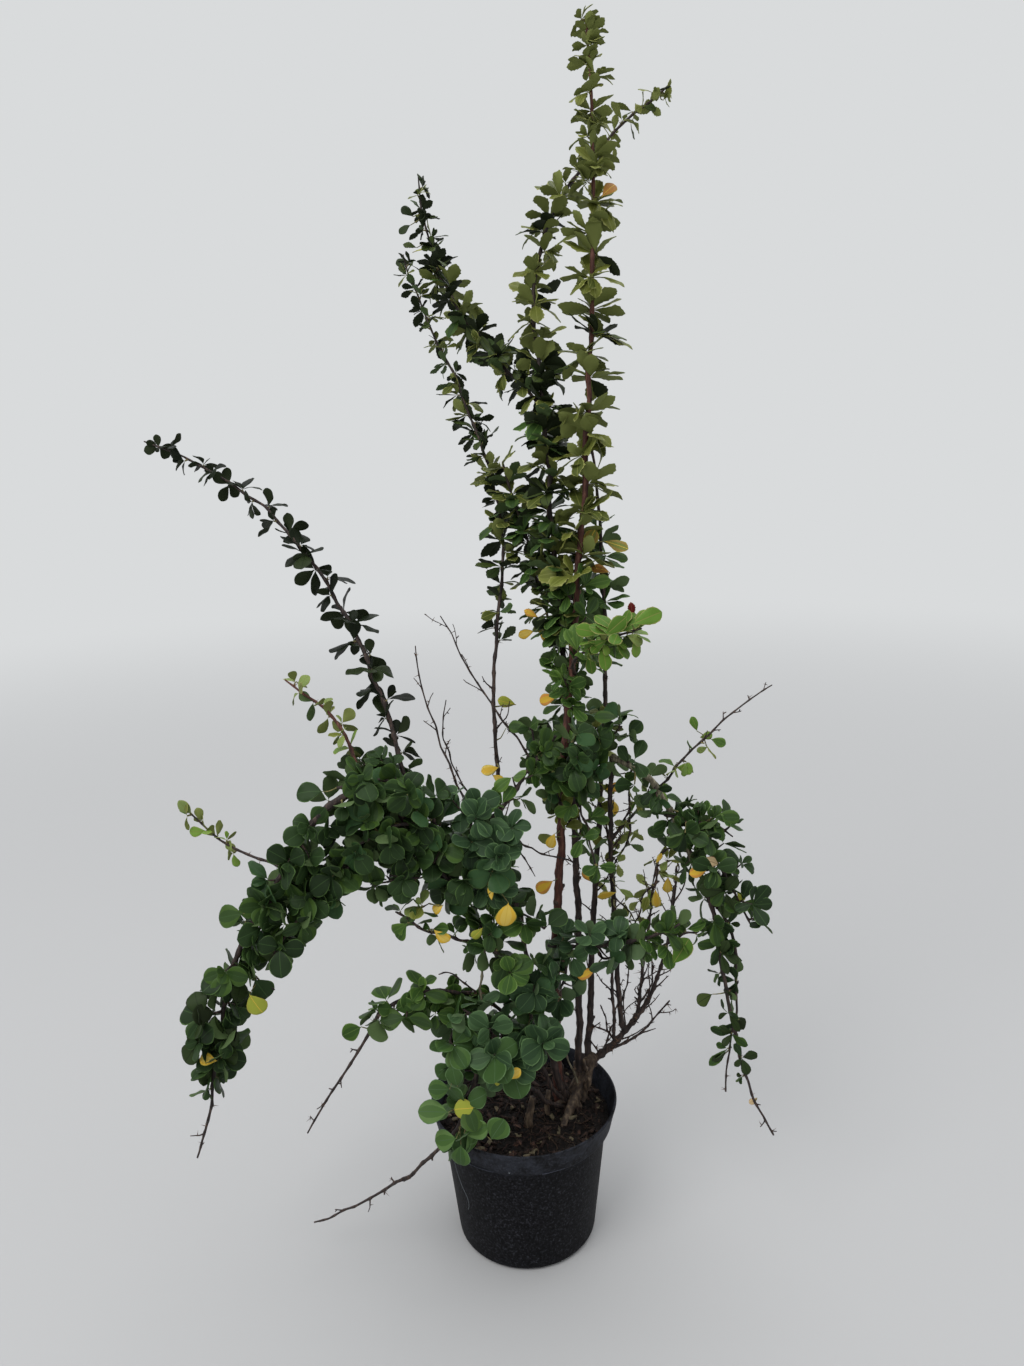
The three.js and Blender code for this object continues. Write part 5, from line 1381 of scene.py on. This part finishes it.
def build_soil():
    batch = Batch()
    rings, seg = 58, 150
    v = []
    for i in range(1, rings + 1):
        r = 85.6 * i / rings
        for j in range(seg):
            a = 2 * math.pi * (j + 0.5 * (i % 2)) / seg
            x, y = r * math.cos(a), r * math.sin(a)
            v.append((x, y, soil_height(x, y) if i < rings else 124.6))
    for z in (119.5, 100.0, 60.0, 20.0, 4.0):
        rr = 68.1 + (80.1 - 68.1) * (z - 3) / 117 - 0.5
        for j in range(seg):
            a = 2 * math.pi * (j + 0.5) / seg
            v.append((rr * math.cos(a), rr * math.sin(a), z))
    v = v + [(0, 0, soil_height(0, 0)), (0, 0, 4.0)]
    rows = rings + 5
    f = np.concatenate([grid_faces(rows, seg), caps(rows, seg)])[:, ::-1]
    batch.add(np.array(v), f, "compost")
    place(batch.build("compost_bed"), "compost", "soil")

    # crumbs of compost: small lumps of twenty faces, pushed out of shape
    rng = rng_for("crumbs")
    g = (1 + 5 ** 0.5) / 2
    ico = unit(np.array([(-1, g, 0), (1, g, 0), (-1, -g, 0), (1, -g, 0), (0, -1, g), (0, 1, g), (0, -1, -g), (0, 1, -g),
                         (g, 0, -1), (g, 0, 1), (-g, 0, -1), (-g, 0, 1)], float))
    faces = np.array([(0, 11, 5), (0, 5, 1), (0, 1, 7), (0, 7, 10), (0, 10, 11), (1, 5, 9), (5, 11, 4), (11, 10, 2), (10, 7, 6),
                      (7, 1, 8), (3, 9, 4), (3, 4, 2), (3, 2, 6), (3, 6, 8), (3, 8, 9), (4, 9, 5), (2, 4, 11), (6, 2, 10),
                      (8, 6, 7), (9, 8, 1)])
    batch = Batch()
    for i in range(3600):
        r, a = 82 * math.sqrt(rng.random()), rng.uniform(0, 6.283)
        x, y = r * math.cos(a), r * math.sin(a)
        size = 0.5 + 1.7 * rng.random() ** 3
        lump = ico * (1 + rng.normal(0, 0.2, (12, 1))) * np.array([1, rng.uniform(0.6, 1), rng.uniform(0.5, 0.9)]) * size
        batch.add(lump + (x, y, soil_height(x, y) + size * 0.2), faces, "crumb" if rng.random() < 0.85 else "chip")
    place(batch.build("compost_crumbs"), "compost")

    # bark chips, flat and split
    batch = Batch()
    box = np.array([(-1, -1, -1), (1, -1, -1), (1, 1, -1), (-1, 1, -1), (-1, -1, 1), (1, -1, 1), (1, 1, 1), (-1, 1, 1)], float)
    quads = [(0, 3, 2, 1), (4, 5, 6, 7), (0, 1, 5, 4), (1, 2, 6, 5), (2, 3, 7, 6), (3, 0, 4, 7)]
    tris = np.array([t for q in quads for t in ((q[0], q[1], q[2]), (q[0], q[2], q[3]))])
    for i in range(150):
        r, a = 78 * math.sqrt(rng.random()), rng.uniform(0, 6.283)
        x, y = r * math.cos(a), r * math.sin(a)
        size = np.array([rng.uniform(2, 5.5), rng.uniform(0.9, 2.2), rng.uniform(0.3, 0.9)])
        turn = Matrix.Rotation(rng.uniform(0, 6.28), 3, "Z") @ Matrix.Rotation(rng.normal(0, 0.35), 3, "X") @ Matrix.Rotation(rng.normal(0, 0.3), 3, "Y")
        v = (box * (1 + rng.normal(0, 0.16, (8, 3))) * size) @ np.array(turn).T
        batch.add(v + (x, y, soil_height(x, y) + 0.8), tris, "chip" if rng.random() < 0.75 else "litter_pale")
    place(batch.build("bark_chips"), "compost")

    # fibres and dead twigs
    batch = Batch()
    for i in range(120):
        r, a = 74 * math.sqrt(rng.random()), rng.uniform(0, 6.283)
        x, y, d = r * math.cos(a), r * math.sin(a), rng.uniform(0, 6.283)
        l = rng.uniform(8, 26)
        pts = []
        for k in range(5):
            q = k / 4 - 0.5
            px, py = x + math.cos(d) * l * q + rng.normal(0, 1.2), y + math.sin(d) * l * q + rng.normal(0, 1.2)
            if math.hypot(px, py) > 82:
                px, py = px * 82 / math.hypot(px, py), py * 82 / math.hypot(px, py)
            pts.append((px, py, soil_height(px, py) + 0.9 + 1.3 * math.sin(k * 0.8) * rng.random()))
        tube(batch, through(pts, 5), rng.uniform(0.25, 0.6), 0.2, "fibre" if rng.random() < 0.7 else "litter", i, step=2.2,
             sides=5, ridge=0, rough=0.1)
    place(batch.build("fibres"), "compost")

    # fallen leaves, brown and curled
    litter = Foliage()
    rng = rng_for("litter")
    COLOURS["fallen"] = ("litter", "litter", "rim_dry", "litter_pale")
    COLOURS["fallen_pale"] = ("litter_pale", "litter_pale", "rim_dry", "litter")
    for i in range(60):
        r, a = 74 * math.sqrt(rng.random()), rng.uniform(0, 6.283)
        x, y, d = r * math.cos(a), r * math.sin(a), rng.uniform(0, 6.283)
        if math.hypot(x - 48, y - 5) < 18:
            continue
        litter.leaf(rng, np.array([x, y, soil_height(x, y) + 1.2]), np.array([math.cos(d), math.sin(d), rng.normal(0.05, 0.12)]),
                    UP + rng.normal(0, 0.35, 3), rng.uniform(6, 11), "obovate" if rng.random() < 0.6 else "round",
                    "fallen" if rng.random() < 0.75 else "fallen_pale", curl=rng.normal(0.2, 0.7), fold=rng.normal(0.5, 0.4))
    place(litter.build("leaf_litter"), "compost")


build_soil()


# ---------------------------------------------------------------- stage

def build_stage():
    # a plain round floor, 9 m in radius, that fades into the pale surroundings far from the plant
    seg = 128
    verts = [(0, 0, 0)] + [(9 * math.cos(2 * math.pi * i / seg), 9 * math.sin(2 * math.pi * i / seg), 0) for i in range(seg)]
    mesh = bpy.data.meshes.new("floor")
    mesh.from_pydata(verts, [], [(0, 1 + i, 1 + (i + 1) % seg) for i in range(seg)])
    floor = bpy.data.objects.new("floor", mesh)
    floor.location.z = -0.0002
    bpy.context.scene.collection.objects.link(floor)
    pale = srgb(217, 219, 220)
    mat, bsdf, nodes, links = principled("floor", srgb(170, 170, 171), 0.9, 0.1)
    glow = nodes.new("ShaderNodeEmission")
    glow.inputs["Color"].default_value = (*pale, 1)
    blend = nodes.new("ShaderNodeMixShader")
    coord = nodes.new("ShaderNodeTexCoord")
    away = nodes.new("ShaderNodeVectorMath")
    away.operation = "LENGTH"
    links.new(coord.outputs["Object"], away.inputs[0])
    fade = nodes.new("ShaderNodeMapRange")
    fade.interpolation_type = "SMOOTHSTEP"
    fade.inputs["From Min"].default_value, fade.inputs["From Max"].default_value = 0.7, 4.5
    links.new(away.outputs["Value"], fade.inputs["Value"])
    links.new(fade.outputs["Result"], blend.inputs["Fac"])
    links.new(bsdf.outputs["BSDF"], blend.inputs[1])
    links.new(glow.outputs["Emission"], blend.inputs[2])
    links.new(blend.outputs["Shader"], nodes["Material Output"].inputs["Surface"])
    mesh.materials.append(mat)
    # surroundings: pale at eye level, brighter overhead like a soft skylight
    world = bpy.data.worlds.new("world")
    world.use_nodes = True
    wn, wl = world.node_tree.nodes, world.node_tree.links
    sky = wn.new("ShaderNodeTexCoord")
    part = wn.new("ShaderNodeSeparateXYZ")
    wl.new(sky.outputs["Generated"], part.inputs["Vector"])
    lift = wn.new("ShaderNodeMapRange")
    lift.inputs["From Min"].default_value, lift.inputs["From Max"].default_value = 0.40, 0.95
    lift.inputs["To Min"].default_value, lift.inputs["To Max"].default_value = 1.0, 2.0
    wl.new(part.outputs["Z"], lift.inputs["Value"])
    wl.new(lift.outputs["Result"], wn["Background"].inputs["Strength"])
    wn["Background"].inputs["Color"].default_value = (*pale, 1)
    bpy.context.scene.world = world
    for name, place_, aim, size, power, colour in (
            ("key", (-1.3, -1.6, 3.0), (0, 0, 0.5), 1.6, 46, (1.0, 0.99, 0.97)),
            ("top", (0.7, 0.8, 3.2), (0, 0, 0.4), 2.0, 22, (1, 1, 1))):
        data = bpy.data.lights.new(name, "AREA")
        data.shape, data.size, data.energy, data.color = "SQUARE", size, power, colour
        lamp = bpy.data.objects.new(name, data)
        lamp.location = place_
        lamp.rotation_mode = "QUATERNION"
        lamp.rotation_quaternion = (Vector(aim) - Vector(place_)).to_track_quat("-Z", "Y")
        bpy.context.scene.collection.objects.link(lamp)
    view = bpy.context.scene.view_settings
    view.view_transform = "Standard"
    view.look = "None"


build_stage()
